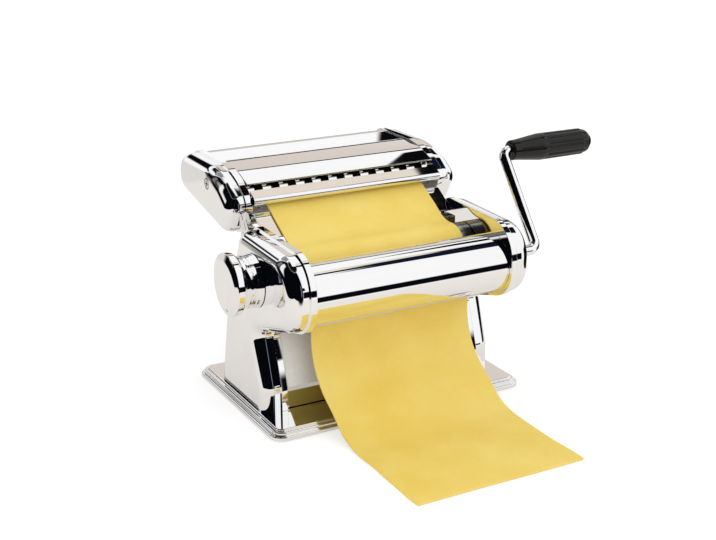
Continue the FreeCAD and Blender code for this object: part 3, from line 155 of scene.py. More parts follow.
softbox_data = bpy.data.lights.new("softbox", "AREA")
softbox_data.shape = "RECTANGLE"
softbox_data.size, softbox_data.size_y = 0.9, 0.7
softbox_data.energy = 2.0
softbox = bpy.data.objects.new("softbox", softbox_data)
scene.collection.objects.link(softbox)
softbox.location = (0.2, -0.75, 0.85)
softbox.rotation_euler = (Vector((0, 0, 0.05)) - softbox.location).to_track_quat("-Z", "Y").to_euler()
softbox.visible_glossy = False

# the sweep: white paper, half of it glow so that it stays white around the shadow; metal sees it as a warm pale
# table that ends at the black flags
floor_mesh = bpy.data.meshes.new("sweep")
reach, TABLE_SOFT, PAPER_GLOW = 4.0, 0.015, 0.62
floor_mesh.from_pydata([(-reach, -reach, 0), (reach, -reach, 0), (reach, reach, 0), (-reach, reach, 0)], [],
                       [(0, 1, 2, 3)])
floor = bpy.data.objects.new("sweep", floor_mesh)
scene.collection.objects.link(floor)
paper = bpy.data.materials.new("white_paper_sweep")
paper.use_nodes = True
tree = paper.node_tree
tree.nodes.clear()
spot = node(tree, "ShaderNodeSeparateXYZ", {0: node(tree, "ShaderNodeTexCoord").outputs["Object"]})
table = 1.0
for axis, low, high in (("X", -0.45, 0.36), ("Y", -0.36, 0.60)):
    for edge, soft in ((low, TABLE_SOFT), (high, -TABLE_SOFT)):
        side = node(tree, "ShaderNodeMapRange", {"Value": spot.outputs[axis], "From Min": edge - soft,
                                                 "From Max": edge + soft}, interpolation_type="SMOOTHSTEP")
        table = node(tree, "ShaderNodeMath", {0: table, 1: side.outputs[0]}, operation="MULTIPLY").outputs[0]
path = node(tree, "ShaderNodeLightPath")
glow = node(tree, "ShaderNodeEmission", {"Strength": PAPER_GLOW})
matte = node(tree, "ShaderNodeBsdfDiffuse", {"Color": (0.5, 0.5, 0.5, 1)})
seen_white = node(tree, "ShaderNodeAddShader", {0: glow.outputs[0], 1: matte.outputs[0]})
lit_white = node(tree, "ShaderNodeBsdfDiffuse", {"Color": (0.97, 0.97, 0.97, 1)})
white = node(tree, "ShaderNodeMixShader", {0: path.outputs["Is Camera Ray"], 1: lit_white.outputs[0],
                                           2: seen_white.outputs[0]})
lit = node(tree, "ShaderNodeBsdfDiffuse", {"Color": linear("#F1ECE6")})
even = node(tree, "ShaderNodeEmission", {"Color": linear("#EAE6E0")})
warm = node(tree, "ShaderNodeMixShader", {0: 0.5, 1: lit.outputs[0], 2: even.outputs[0]})
gone = node(tree, "ShaderNodeBsdfTransparent")
table_top = node(tree, "ShaderNodeMixShader", {0: table, 1: gone.outputs[0], 2: warm.outputs[0]})
mix = node(tree, "ShaderNodeMixShader", {0: path.outputs["Is Glossy Ray"], 1: white.outputs[0],
                                         2: table_top.outputs[0]})
node(tree, "ShaderNodeOutputMaterial", {"Surface": mix.outputs[0]})
floor_mesh.materials.append(paper)

# ------------------------------------------------------------------ base plate
# One sheet of 1 mm steel, pressed with two shallow steps all round and chrome plated. The four corners are
# round, and the frame's side plates stand on its top.
MM = 0.001


def new_material(name):
    """An empty material's tree, and the place on the piece that its patterns read."""
    material = bpy.data.materials.new(name)
    material.use_nodes = True
    tree = material.node_tree
    tree.nodes.clear()
    return material, tree, node(tree, "ShaderNodeTexCoord").outputs["Object"]


# Chrome plate on pressed steel: a cold mirror, with the press's faint waves and a few wiped smears.
chrome, tree, place = new_material("chrome_plate_on_pressed_steel")
smears = node(tree, "ShaderNodeTexNoise", {"Vector": place, "Scale": 45.0, "Detail": 5.0, "Roughness": 0.6})
dull = node(tree, "ShaderNodeMapRange", {"Value": smears.outputs[0], "From Min": 0.4, "From Max": 0.75,
                                         "To Min": 0.012, "To Max": 0.04})
tone = node(tree, "ShaderNodeMix", {0: smears.outputs[0], 6: linear("#FBFBFB"), 7: linear("#F2F2F3")},
            data_type="RGBA")
waves = node(tree, "ShaderNodeTexNoise", {"Vector": place, "Scale": 35.0, "Detail": 1.0, "Roughness": 0.3})
swell = node(tree, "ShaderNodeBump", {"Height": waves.outputs[0], "Strength": 0.4, "Distance": 0.00006})
skin = node(tree, "ShaderNodeBsdfPrincipled", {
    "Base Color": tone.outputs[2], "Metallic": 1.0, "Roughness": dull.outputs[0], "Normal": swell.outputs[0]})
node(tree, "ShaderNodeOutputMaterial", {"Surface": skin.outputs[0]})


def rounded(points, radii, closed=True, step=4.0):
    """The points of a plane outline, with arcs of the given radii at its corners."""
    count = len(points)
    out = []
    for i, (u, v) in enumerate(points):
        here = Vector((u, v))
        radius = radii.get(i, 0)
        if not radius or (not closed and i in (0, count - 1)):
            out.append(here)
            continue
        a = (Vector(points[i - 1]) - here).normalized()
        b = (Vector(points[(i + 1) % count]) - here).normalized()
        half = math.acos(max(-1, min(1, a.dot(b)))) / 2
        run = radius / math.tan(half)
        centre = here + (a + b).normalized() * (radius / math.sin(half))
        start, stop = here + a * run - centre, here + b * run - centre
        angle = start.angle_signed(stop)
        pieces = max(2, math.ceil(abs(math.degrees(angle)) / step))
        for k in range(pieces + 1):
            out.append(centre + Matrix.Rotation(-angle * k / pieces, 2) @ start)
    return out


def offsets(points, closed=True):
    """For each point of an outline, the step to its left for 1 mm of offset."""
    steps = []
    count = len(points)
    for i, here in enumerate(points):
        before = points[i - 1] if closed or i else None
        after = points[(i + 1) % count] if closed or i < count - 1 else None
        normals = []
        for start, stop in ((before, here), (here, after)):
            if start is not None and stop is not None and (stop - start).length > 1e-9:
                run = (stop - start).normalized()
                normals.append(Vector((-run.y, run.x)))
        middle = sum(normals, Vector((0, 0))).normalized()
        steps.append(middle / middle.dot(normals[0]))
    return steps


def made(name, verts, faces=(), material=None, edges=()):
    """A mesh piece from millimetres, its faces turned outwards."""
    mesh = bpy.data.meshes.new(name)
    mesh.from_pydata([Vector(v) * MM for v in verts], edges, faces)
    bm = bmesh.new()
    bm.from_mesh(mesh)
    bmesh.ops.recalc_face_normals(bm, faces=bm.faces)
    bm.to_mesh(mesh)
    bm.free()
    piece = bpy.data.objects.new(name, mesh)
    scene.collection.objects.link(piece)
    if material:
        mesh.materials.append(material)
    return piece


def loft(name, rings, material, closed=True, caps=(True, True)):
    """A skin over rings of equal length; a cap closes the first or last ring."""
    size = len(rings[0])
    verts = [v for ring in rings for v in ring]
    faces = []
    for i in range(len(rings) - 1):
        for k in range(size if closed else size - 1):
            a, b = i * size + k, i * size + (k + 1) % size
            faces.append((a, b, b + size, a + size))
    if caps[0]:
        faces.append(tuple(range(size))[::-1])
    if caps[1]:
        faces.append(tuple(range(len(verts) - size, len(verts))))
    return made(name, verts, faces, material)


def modifier(piece, kind, **settings):
    """Adds a modifier with its settings."""
    item = piece.modifiers.new(kind.lower(), kind)
    for key, value in settings.items():
        setattr(item, key, value)
    return item


def settled(piece):
    """Turns a piece's modifiers into its plain mesh."""
    graph = bpy.context.evaluated_depsgraph_get()
    mesh = bpy.data.meshes.new_from_object(piece.evaluated_get(graph), preserve_all_data_layers=True,
                                           depsgraph=graph)
    piece.modifiers.clear()
    piece.data = mesh
    return piece


def finish(piece, node_name, sharp=35.0, outward=True):
    """Merges, smooths all but the sharp edges, keeps flat faces flat, and hands the piece over."""
    settled(piece)
    bm = bmesh.new()
    bm.from_mesh(piece.data)
    bmesh.ops.remove_doubles(bm, verts=bm.verts, dist=1e-7)
    if outward:
        bmesh.ops.recalc_face_normals(bm, faces=bm.faces)
    bm.to_mesh(piece.data)
    bm.free()
    piece.data.shade_smooth()
    piece.data.set_sharp_from_angle(angle=math.radians(sharp))
    modifier(piece, "WEIGHTED_NORMAL", keep_sharp=True, weight=100)
    settled(piece)
    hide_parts(node_name)
    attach(piece, frame["nodes"][node_name]["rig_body"])
    return piece


BASE_WIDTH, BASE_DEPTH, BASE_CORNER, BASE_TOP, BASE_WALL = 199.0, 137.4, 9.5, 7.5, 0.9
half_x, half_y = BASE_WIDTH / 2, BASE_DEPTH / 2
loop = rounded([(-half_x, -half_y), (half_x, -half_y), (half_x, half_y), (-half_x, half_y)],
               {i: BASE_CORNER for i in range(4)}, step=9)
inward = offsets(loop)
profile = rounded([(1.2, 0.8), (0, 0.8), (0, 3.8), (2.3, 3.8), (2.3, 6.2), (4.8, 6.2), (4.8, BASE_TOP),
                   (8.0, BASE_TOP)], {1: 0.3, 2: 0.9, 3: 0.5, 4: 0.9, 5: 0.5, 6: 0.8}, closed=False, step=15)
rings = [[(p.x + n.x * inset, p.y + n.y * inset, z) for p, n in zip(loop, inward)] for inset, z in profile]
base = loft("pressed_base", rings, chrome, caps=(False, True))
modifier(base, "SOLIDIFY", thickness=BASE_WALL * MM, offset=-1.0)
finish(base, "base_plate", sharp=60)

# ------------------------------------------------------------------ rubber feet
# Four round feet of black moulded rubber under the base plate's corners, a little narrower at the ground. They
# are pushed into the hollow of the pressing.


def sized_tree(name, **sizes):
    """A geometry tree with a mesh going in and out, and a named input for each size."""
    tree = bpy.data.node_groups.new(name, "GeometryNodeTree")
    tree.interface.new_socket("Mesh", in_out="INPUT", socket_type="NodeSocketGeometry")
    for label, value in sizes.items():
        kind = "NodeSocketInt" if isinstance(value, int) else "NodeSocketFloat"
        tree.interface.new_socket(label, in_out="INPUT", socket_type=kind)
    tree.interface.new_socket("Mesh", in_out="OUTPUT", socket_type="NodeSocketGeometry")
    return tree, node(tree, "NodeGroupInput").outputs


def end_tree(tree, shape, material):
    """Closes a geometry tree: plain geometry with one material."""
    real = node(tree, "GeometryNodeRealizeInstances", {0: shape})
    painted = node(tree, "GeometryNodeSetMaterial", {"Geometry": real.outputs[0], "Material": material})
    node(tree, "NodeGroupOutput", {0: painted.outputs[0]})


def grown(piece, tree, **sizes):
    """Runs a geometry tree with its sizes over a piece."""
    item = modifier(piece, "NODES", node_group=tree)
    for socket in tree.interface.items_tree:
        if socket.item_type == "SOCKET" and socket.in_out == "INPUT" and socket.name in sizes:
            item[socket.identifier] = sizes[socket.name]
    return piece


# Black moulded rubber: matt, with the fine grain of a spark-eroded mould.
rubber, tree, place = new_material("moulded_black_rubber")
grain = node(tree, "ShaderNodeTexNoise", {"Vector": place, "Scale": 900.0, "Detail": 2.0})
tone = node(tree, "ShaderNodeMix", {0: grain.outputs[0], 6: linear("#1A1918"), 7: linear("#262423")},
            data_type="RGBA")
bumps = node(tree, "ShaderNodeBump", {"Height": grain.outputs[0], "Strength": 0.5, "Distance": 0.0001})
skin = node(tree, "ShaderNodeBsdfPrincipled", {"Base Color": tone.outputs[2], "Roughness": 0.75,
                                               "Normal": bumps.outputs[0]})
node(tree, "ShaderNodeOutputMaterial", {"Surface": skin.outputs[0]})

FOOT_TAPER = 0.93
foot_sizes = {"Radius": 8.0 * MM, "Height": 6.5 * MM, "Width": 165.0 * MM, "Depth": 103.4 * MM}
tree, sizes = sized_tree("rubber_feet", **foot_sizes)
corners = node(tree, "GeometryNodeMeshGrid", {"Size X": sizes["Width"], "Size Y": sizes["Depth"],
                                              "Vertices X": 2, "Vertices Y": 2})
narrow = node(tree, "ShaderNodeMath", {0: sizes["Radius"], 1: FOOT_TAPER}, operation="MULTIPLY")
foot = node(tree, "GeometryNodeMeshCone", {"Vertices": 40, "Radius Top": sizes["Radius"],
                                           "Radius Bottom": narrow.outputs[0], "Depth": sizes["Height"]})
feet = node(tree, "GeometryNodeInstanceOnPoints", {"Points": corners.outputs[0], "Instance": foot.outputs[0]})
end_tree(tree, feet.outputs[0], rubber)
feet = grown(made("moulded_feet", []), tree, **foot_sizes)
modifier(feet, "BEVEL", width=0.5 * MM, segments=2, limit_method="ANGLE", angle_limit=math.radians(50))
finish(feet, "rubber_feet")

# ------------------------------------------------------------------ side plates
# Two 4.5 mm steel plates carry the rollers. They are punched, their edges are ground smooth and all of them is
# chrome plated; a thin edge of each shows beside its cover.


def refined(cad, material, bevel=0.3, angle=32.0, segments=2, sharp=35.0):
    """A solid's own surface, its edges broken by bevel mm and its curves smooth."""
    mesh = frame["nodes"][cad].data.copy()
    piece = bpy.data.objects.new(cad + "_finished", mesh)
    scene.collection.objects.link(piece)
    mesh.materials.clear()
    mesh.materials.append(material)
    bm = bmesh.new()
    bm.from_mesh(mesh)
    bmesh.ops.remove_doubles(bm, verts=bm.verts, dist=2e-6)
    bmesh.ops.dissolve_limit(bm, angle_limit=math.radians(0.5), verts=bm.verts, edges=bm.edges)
    bm.to_mesh(mesh)
    bm.free()
    if bevel:
        modifier(piece, "BEVEL", width=bevel * MM, segments=segments, limit_method="ANGLE",
                 angle_limit=math.radians(angle), use_clamp_overlap=True)
    return finish(piece, cad, sharp=sharp, outward=False)


for side in ("left", "right"):
    refined(side + "_side_plate", chrome, bevel=0.6, segments=3)

# ------------------------------------------------------------------ side covers
# Deep pressed shells of 1 mm steel, chrome plated, hooked over the side plates. A 9 mm round runs from the wall
# to the flat face; the left one has the dial's hole, the right one the crank's.
COVER_RIM, COVER_FACE, COVER_ROUND, COVER_WALL, ROUND_STEPS = 79.5, 93.0, 9.0, 1.0, 12
DRILL_FROM, DRILL_TO = 90, 95  # across a cover's flat face
ROLLER_Y, REAR_Y, ROLLER_Z = -60.8, -25.8, 101.8


def pressed_cover(name, line, sign, rim, closed=True):
    """A shell over an outline in the plane across X: a wall, a quarter round and a flat face."""
    inward = offsets(line, closed)
    if not closed:  # the open ends stay on the base plate
        for end in (0, -1):
            inward[end] = Vector((1 / inward[end].x, 0))
    straight = COVER_FACE - COVER_ROUND
    sections = [(0, rim), (0, (rim + straight) / 2)]
    for k in range(ROUND_STEPS + 1):
        bend = math.radians(90 / ROUND_STEPS * k)
        sections.append((COVER_ROUND * (1 - math.cos(bend)), straight + COVER_ROUND * math.sin(bend)))
    rings = [[(x * sign, p.x + n.x * inset, p.y + n.y * inset) for p, n in zip(line, inward)]
             for inset, x in sections]
    shell = loft(name, rings, chrome, closed=closed, caps=(False, True))
    modifier(shell, "SOLIDIFY", thickness=COVER_WALL * MM, offset=-1.0)
    return shell


def turned(name, profile, y, z, material, ring=False, segments=96):
    """A body turned about an axis along X from (x, radius) points; a ring is hollow right through."""
    rings = []
    for x, radius in profile:
        rings.append([(x, y + radius * math.cos(a), z + radius * math.sin(a))
                      for a in (2 * math.pi * k / segments for k in range(segments))])
    if ring:
        rings.append(rings[0])
    return loft(name, rings, material, caps=(not ring, not ring))


def bored(piece, x_low, x_high, y, z, radius):
    """Drills a hole along X."""
    drill = turned("drill", [(x_low, radius), (x_high, radius)], y, z, None, segments=64)
    modifier(piece, "BOOLEAN", object=drill, operation="DIFFERENCE", solver="EXACT")
    settled(piece)
    bpy.data.objects.remove(drill)
    return piece


SIDE_LINE = rounded([(40.5, BASE_TOP), (28.5, 66.0), (1.1, 129.8), (-83.6, 127.5), (-83.6, 81.0), (-22.9, 63.45),
                     (-36.0, 24.5), (-36.0, BASE_TOP)],
                    {1: 100.0, 2: 10.5, 3: 24.1, 4: 22.5, 5: 6.0, 6: 14.0}, closed=False)
for side, sign, hole_y, hole in (("left", -1, REAR_Y, 5.3), ("right", 1, ROLLER_Y, 8.5)):
    cover = pressed_cover(side + "_cover_shell", SIDE_LINE, sign, COVER_RIM, closed=False)
    low, high = sorted((sign * DRILL_FROM, sign * DRILL_TO))
    bored(cover, low, high, hole_y, ROLLER_Z, hole)
    finish(cover, side + "_side_cover")

# ------------------------------------------------------------------ tie rods and their nuts
# Three turned steel rods hold the side plates apart. Their threaded ends pass through the plates and take a
# plain hexagon nut on each side, under the covers.


def patterned(name, colours, dull, skin, scale=1.0, detail=3.0, stretch=None, span=(0.0, 1.0), relief=None):
    """A material whose colour, roughness and relief all follow one pattern on the piece.

    The pattern's values from span run over the two roughnesses in dull, relief is the bumps' strength and their
    height in metres, and skin holds what is the same all over.
    """
    material, tree, place = new_material(name)
    if stretch:
        place = node(tree, "ShaderNodeMapping", {"Vector": place, "Scale": stretch}).outputs[0]
    marks = node(tree, "ShaderNodeTexNoise", {"Vector": place, "Scale": scale, "Detail": detail}).outputs[0]
    tone = node(tree, "ShaderNodeMix", {0: marks, 6: linear(colours[0]), 7: linear(colours[1])}, data_type="RGBA")
    rough = node(tree, "ShaderNodeMapRange", {"Value": marks, "From Min": span[0], "From Max": span[1],
                                              "To Min": dull[0], "To Max": dull[1]})
    inputs = {"Base Color": tone.outputs[2], "Roughness": rough.outputs[0], **skin}
    if relief:
        bumps = node(tree, "ShaderNodeBump", {"Height": marks, "Strength": relief[0], "Distance": relief[1]})
        inputs["Normal"] = bumps.outputs[0]
    painted = node(tree, "ShaderNodeBsdfPrincipled", inputs)
    node(tree, "ShaderNodeOutputMaterial", {"Surface": painted.outputs[0]})
    return material


# Bright turned steel: a plain grey metal with the lathe's fine rings, about 0.3 mm apart.
steel = patterned("bright_turned_steel", ("#DCDCDE", "#C9CACC"), (0.1, 0.22), {"Metallic": 1.0}, detail=2.0,
                  stretch=(3000.0, 40.0, 40.0), relief=(0.2, 0.00003))

nut_sizes = {"Flat": 8.0 * MM, "Height": 4.0 * MM, "Bore": 2.55 * MM}
nut_tree, sizes = sized_tree("hexagon_nuts", **nut_sizes)
corner = node(nut_tree, "ShaderNodeMath", {0: sizes["Flat"], 1: math.sqrt(3)}, operation="DIVIDE")
blank = node(nut_tree, "GeometryNodeMeshCylinder", {"Vertices": 6, "Radius": corner.outputs[0],
                                                    "Depth": sizes["Height"]})
through = node(nut_tree, "ShaderNodeMath", {0: sizes["Height"], 1: 2.0}, operation="MULTIPLY")
drill = node(nut_tree, "GeometryNodeMeshCylinder", {"Vertices": 32, "Radius": sizes["Bore"],
                                                    "Depth": through.outputs[0]})
nut = node(nut_tree, "GeometryNodeMeshBoolean", {"Mesh 1": blank.outputs[0], "Mesh 2": drill.outputs[0]},
           operation="DIFFERENCE")
nuts = node(nut_tree, "GeometryNodeInstanceOnPoints", {
    "Points": sizes["Mesh"], "Instance": nut.outputs[0], "Rotation": (0, math.pi / 2, 0)})
end_tree(nut_tree, nuts.outputs[0], steel)


def nuts_at(name, cad, ties, plate, scale=1.0):
    """A nut outside each plate at every tie rod."""
    height = nut_sizes["Height"] / MM * scale
    spots = [(sign * (plate + height / 2), y, z) for y, z in ties for sign in (-1, 1)]
    piece = grown(made(name, spots), nut_tree, Flat=nut_sizes["Flat"] * scale, Height=height * MM,
                  Bore=nut_sizes["Bore"])
    modifier(piece, "BEVEL", width=0.35 * MM, segments=1, limit_method="ANGLE", angle_limit=math.radians(75))
    return finish(piece, cad)


refined("tie_rods", steel, bevel=0.2)
nuts_at("side_plate_nuts", "tie_rod_nuts", ((-18.0, 40.0), (24.0, 30.0), (4.0, 80.0)), COVER_RIM)

# ------------------------------------------------------------------ front, rear and feed panels
# Folded sheets of 1.2 mm steel, chrome plated, spot welded between the side plates. The front one has the slot
# for a table clamp in its bare foot, and its plated slope is coloured a plain warm white, a painted reflection of
# the bright room in place of the chrome. The small one leads the dough to the rollers.
SIDE, PANEL_THICK, FOOT_BEND = 74.9, 1.2, 23.5

# Chrome plate on flat rolled sheet: a flat mirror with faint lines along the rolling direction.
sheet_chrome = patterned("chrome_plate_on_rolled_sheet", ("#FBFBFB", "#F3F3F3"), (0.012, 0.035), {"Metallic": 1.0},
                         stretch=(8.0, 160.0, 160.0), span=(0.35, 0.75), relief=(0.15, 0.00001))

# Painted reflection on the front panel's plated slope: a warm white, half glossy and a little cloudy at random,
# standing in for the bright room that its chrome reflects.
slope_painted_reflection = patterned("plain_white_painted_reflection", ("#FAF8F5", "#EFECE7"), (0.2, 0.35), {"IOR": 1.5}, scale=30.0)


def folded(name, line, bends, thick, step=4.0, material=sheet_chrome):
    """A sheet bent along X: line is its outer side, which lies to the left, and bends its corners' radii."""
    outer = rounded(line, bends, closed=False, step=step)
    inner = [p - n * thick for p, n in zip(outer, offsets(outer, closed=False))]
    ring = outer + inner[::-1]
    piece = loft(name, [[(x, p.x, p.y) for p in ring] for x in (-SIDE, SIDE)], material)
    modifier(piece, "BEVEL", width=0.25 * MM, segments=2, limit_method="ANGLE", angle_limit=math.radians(50))
    return piece


# the slope takes the warm white painted reflection, and the foot below the bend keeps bare chrome
front = folded("front_sheet", [(-20.0, BASE_TOP), (-36.0, BASE_TOP), (-36.0, 24.5), (-24.05, 60.0)],
               {1: 2.5, 2: 5.0}, PANEL_THICK, material=slope_painted_reflection)
slot = made("clamp_slot", [(x, y, z) for x in (-15, 15) for y in (-38, -33) for z in (11, 18)],
            [(0, 1, 3, 2), (4, 6, 7, 5), (0, 4, 5, 1), (2, 3, 7, 6), (0, 2, 6, 4), (1, 5, 7, 3)])
settled(front)
modifier(front, "BOOLEAN", object=slot, operation="DIFFERENCE", solver="EXACT")
settled(front)
bpy.data.objects.remove(slot)
finish(front, "front_panel")
front.data.materials.append(sheet_chrome)
for face in front.data.polygons:  # the foot below the bend stays bare plating
    face.material_index = 1 if face.center.z < FOOT_BEND * MM else 0
rear = folded("rear_sheet", [(14.1, 99.5), (28.5, 66.0), (40.5, BASE_TOP), (24.5, BASE_TOP)],
              {1: 8.0, 2: 2.5}, PANEL_THICK)
finish(rear, "rear_panel")
refined("feed_plate", sheet_chrome, bevel=0.2)

# ------------------------------------------------------------------ front roller's cover
# A half tube of thin sheet over the front roller, rolled, chrome plated and held by tabs in the side plates'
# slots. Its lower edge ends above the sheet that comes out.
COVER_Y, COVER_Z, TUBE_RADIUS, TUBE_THICK = -62.0, 99.0, 20.6, 0.7
TUBE_FROM, TUBE_SWEEP, TUBE_STEPS = 66, 204, 102
arc = [(COVER_Y + TUBE_RADIUS * math.cos(math.radians(a)), COVER_Z + TUBE_RADIUS * math.sin(math.radians(a)))
       for a in (TUBE_FROM + TUBE_SWEEP * k / TUBE_STEPS for k in range(TUBE_STEPS + 1))]
finish(folded("half_tube", [Vector(p) for p in arc[::-1]], {}, TUBE_THICK), "front_roller_cover")

# ------------------------------------------------------------------ scrapers and combs
# White acetal strips with a thin lip keep the dough off the smooth rollers, and combs of the same plastic lift
# the noodles out of the cutters' grooves. Milled from strip and clipped to the frame.

# White acetal: a waxy, slightly translucent plastic with a soft shine and faint milling marks.
acetal = patterned("milled_white_acetal", ("#F2EFE8", "#E4E0D6"), (0.32, 0.5),
                   {"Subsurface Weight": 0.05, "IOR": 1.48}, scale=300.0)
for strip in ("front_scraper", "rear_scraper", "wide_combs", "fine_combs"):
    refined(strip, acetal, bevel=0.15)

# ------------------------------------------------------------------ smooth rollers
# Two aluminium rollers, 33 mm thick, turned and anodised in a satin grey, with their journals in one piece. The
# front one has the crank's socket in its right end.

# Satin anodised aluminium: a soft grey metal whose fine turning marks run round the roller, about 0.5 mm apart.
satin = patterned("satin_anodised_aluminium", ("#C9C8C5", "#B5B4B1"), (0.16, 0.3), {"Metallic": 1.0},
                  stretch=(2000.0, 25.0, 25.0), relief=(0.2, 0.00003))
for roller in ("front_roller", "rear_roller"):
    refined(roller, satin, bevel=0.5)

# ------------------------------------------------------------------ gears, cam and bearings
# Milled steel gears, a grooved cam and two levers move the rear roller, all lightly greased, on white acetal
# bushes. They sit under the side covers, and their solids already have every tooth.


def dressed(cad, material):
    """Gives a solid whose shape is right its finish."""
    for entry in frame["nodes"][cad].material_slots:
        entry.material = material


# Greased milled steel: dark grey and wet looking where the grease lies.
greased = patterned("greased_milled_steel", ("#9A9A9C", "#77767A"), (0.15, 0.42), {"Metallic": 1.0}, scale=120.0,
                    detail=4.0, span=(0.35, 0.65))
for cad in ("front_roller_gear", "rear_roller_gear", "wide_front_gear", "wide_rear_gear", "fine_front_gear",
            "fine_rear_gear", "dial_cam", "left_bearing_block", "right_bearing_block"):
    dressed(cad, greased)
for cad in ("front_roller_bushes", "rear_roller_bushes", "cutter_bushes"):
    dressed(cad, acetal)
for cad in ("yoke_bar", "dial_shaft", "dial_spring", "crank_drive_pin"):
    dressed(cad, steel)

# ------------------------------------------------------------------ gap dial
# A hollow pressed knob with a waisted neck and a flared rim, closed by a shallow cap with a small index dimple.
# It is pulled out and turned to set the gap, against a spring inside.
DIAL_Z = ROLLER_Z
outside = rounded([(-93.4, 18.8), (-97.3, 18.2), (-99.6, 18.15), (-99.85, 17.7), (-100.35, 17.7), (-100.6, 18.1),
                   (-102.7, 18.0), (-106.2, 19.1), (-107.9, 21.5), (-112.4, 21.65)],
                  {1: 3.0, 6: 5.0, 7: 3.0, 8: 1.6}, closed=False, step=6)
inside = [(-112.4, 9.4), (-98.8, 9.4), (-98.8, 5.05), (-93.4, 5.05)]
knob = turned("dial_shell", [tuple(p) for p in outside] + inside, REAR_Y, DIAL_Z, chrome, ring=True)
finish(knob, "dial_knob")
dome = rounded([(-112.4, 21.6), (-112.9, 21.5), (-113.2, 20.6), (-114.5, 16.3), (-114.5, 9.0)],
               {1: 0.5, 2: 1.5, 3: 9.0}, closed=False, step=1)
cap = turned("dial_cap_disc", [tuple(p) for p in dome], REAR_Y, DIAL_Z, chrome)
DIMPLE_Y, DIMPLE_Z, DIMPLE_RADIUS = REAR_Y - 3, DIAL_Z - 16.9, 1.1
bored(cap, -116, -113.6, DIMPLE_Y, DIMPLE_Z, DIMPLE_RADIUS)
finish(cap, "dial_cap")

# ------------------------------------------------------------------ crank
# An 8 mm steel rod bent twice to a Z, chrome plated. Its end goes into the front roller's socket, where a cross
# pin drives it.
crank_sizes = {"Radius": 4.0 * MM, "Bend": 6.0 * MM}
tree, sizes = sized_tree("bent_rod", **crank_sizes)
route = node(tree, "GeometryNodeMeshToCurve", {0: sizes["Mesh"]})
bent = node(tree, "GeometryNodeFilletCurve", {"Curve": route.outputs[0], "Count": 14, "Radius": sizes["Bend"],
                                              "Limit Radius": True}, mode="POLY")
round_bar = node(tree, "GeometryNodeCurvePrimitiveCircle", {"Resolution": 40, "Radius": sizes["Radius"]})
swept = node(tree, "GeometryNodeCurveToMesh", {"Curve": bent.outputs[0], "Profile Curve": round_bar.outputs[0],
                                               "Fill Caps": True})
end_tree(tree, swept.outputs[0], chrome)
GRIP_Y, GRIP_Z = -14.66, 163.7
ROD_START, ROD_ARM, ROD_END = 77.0, 113.0, 179.0
crank = made("bent_crank_rod", [(ROD_START, ROLLER_Y, ROLLER_Z), (ROD_ARM, ROLLER_Y, ROLLER_Z),
                                (ROD_ARM, GRIP_Y, GRIP_Z), (ROD_END, GRIP_Y, GRIP_Z)],
             edges=[(0, 1), (1, 2), (2, 3)])
grown(crank, tree, **crank_sizes)
modifier(crank, "BEVEL", width=0.6 * MM, segments=2, limit_method="ANGLE", angle_limit=math.radians(60))
finish(crank, "crank_rod")

# ------------------------------------------------------------------ crank grip
# A turning handle moulded in black ABS over the rod's end, with fourteen shallow flutes and a pressed-in cap
# that keeps it on.

# Moulded black ABS: near black with a satin shine that breaks on the fine moulded texture.
moulded, tree, place = new_material("moulded_black_abs")
grain = node(tree, "ShaderNodeTexNoise", {"Vector": place, "Scale": 1400.0, "Detail": 2.0})
clouds = node(tree, "ShaderNodeTexNoise", {"Vector": place, "Scale": 60.0, "Detail": 2.0})
tone = node(tree, "ShaderNodeMix", {0: clouds.outputs[0], 6: linear("#0B0A09"), 7: linear("#161412")},
            data_type="RGBA")
dull = node(tree, "ShaderNodeMapRange", {"Value": clouds.outputs[0], "To Min": 0.1, "To Max": 0.2})
bumps = node(tree, "ShaderNodeBump", {"Height": grain.outputs[0], "Strength": 0.2, "Distance": 0.00003})
skin = node(tree, "ShaderNodeBsdfPrincipled", {"Base Color": tone.outputs[2], "Roughness": dull.outputs[0],
                                               "IOR": 1.4, "Normal": bumps.outputs[0]})
node(tree, "ShaderNodeOutputMaterial", {"Surface": skin.outputs[0]})

GRIP_START, GRIP_END, GRIP_NECK, GRIP_WIDE, GRIP_BORE, DENSE = 119.6, 183.0, 7.4, 10.0, 4.1, 1.2
flute_sizes = {"Count": 14, "Depth": 0.75 * MM, "Start": 146.5 * MM, "Run In": 2.5 * MM, "Bore Wall": 6.5 * MM,
               "AxisY": GRIP_Y * MM, "AxisZ": GRIP_Z * MM}
tree, sizes = sized_tree("fluted_grip", **flute_sizes)
spot = node(tree, "ShaderNodeSeparateXYZ", {0: node(tree, "GeometryNodeInputPosition").outputs[0]})
across = node(tree, "ShaderNodeMath", {0: spot.outputs["Y"], 1: sizes["AxisY"]}, operation="SUBTRACT")
above = node(tree, "ShaderNodeMath", {0: spot.outputs["Z"], 1: sizes["AxisZ"]}, operation="SUBTRACT")
angle = node(tree, "ShaderNodeMath", {0: above.outputs[0], 1: across.outputs[0]}, operation="ARCTAN2")
angle = node(tree, "ShaderNodeMath", {0: angle.outputs[0], 1: sizes["Count"]}, operation="MULTIPLY")
wave = node(tree, "ShaderNodeMath", {0: angle.outputs[0]}, operation="COSINE")
flute = node(tree, "ShaderNodeMapRange", {"Value": wave.outputs[0], "From Min": 0.1, "From Max": 0.95},
             interpolation_type="SMOOTHSTEP")
deep = node(tree, "ShaderNodeMath", {0: sizes["Start"], 1: sizes["Run In"]}, operation="ADD")
begun = node(tree, "ShaderNodeMapRange", {"Value": spot.outputs["X"], "From Min": sizes["Start"],
                                          "From Max": deep.outputs[0]}, interpolation_type="SMOOTHSTEP")
outward = node(tree, "ShaderNodeCombineXYZ", {"Y": across.outputs[0], "Z": above.outputs[0]})
far = node(tree, "ShaderNodeVectorMath", {0: outward.outputs[0]}, operation="LENGTH")
skin_only = node(tree, "ShaderNodeMath", {0: far.outputs["Value"], 1: sizes["Bore Wall"]},
                 operation="GREATER_THAN")
unit = node(tree, "ShaderNodeVectorMath", {0: outward.outputs[0]}, operation="NORMALIZE")
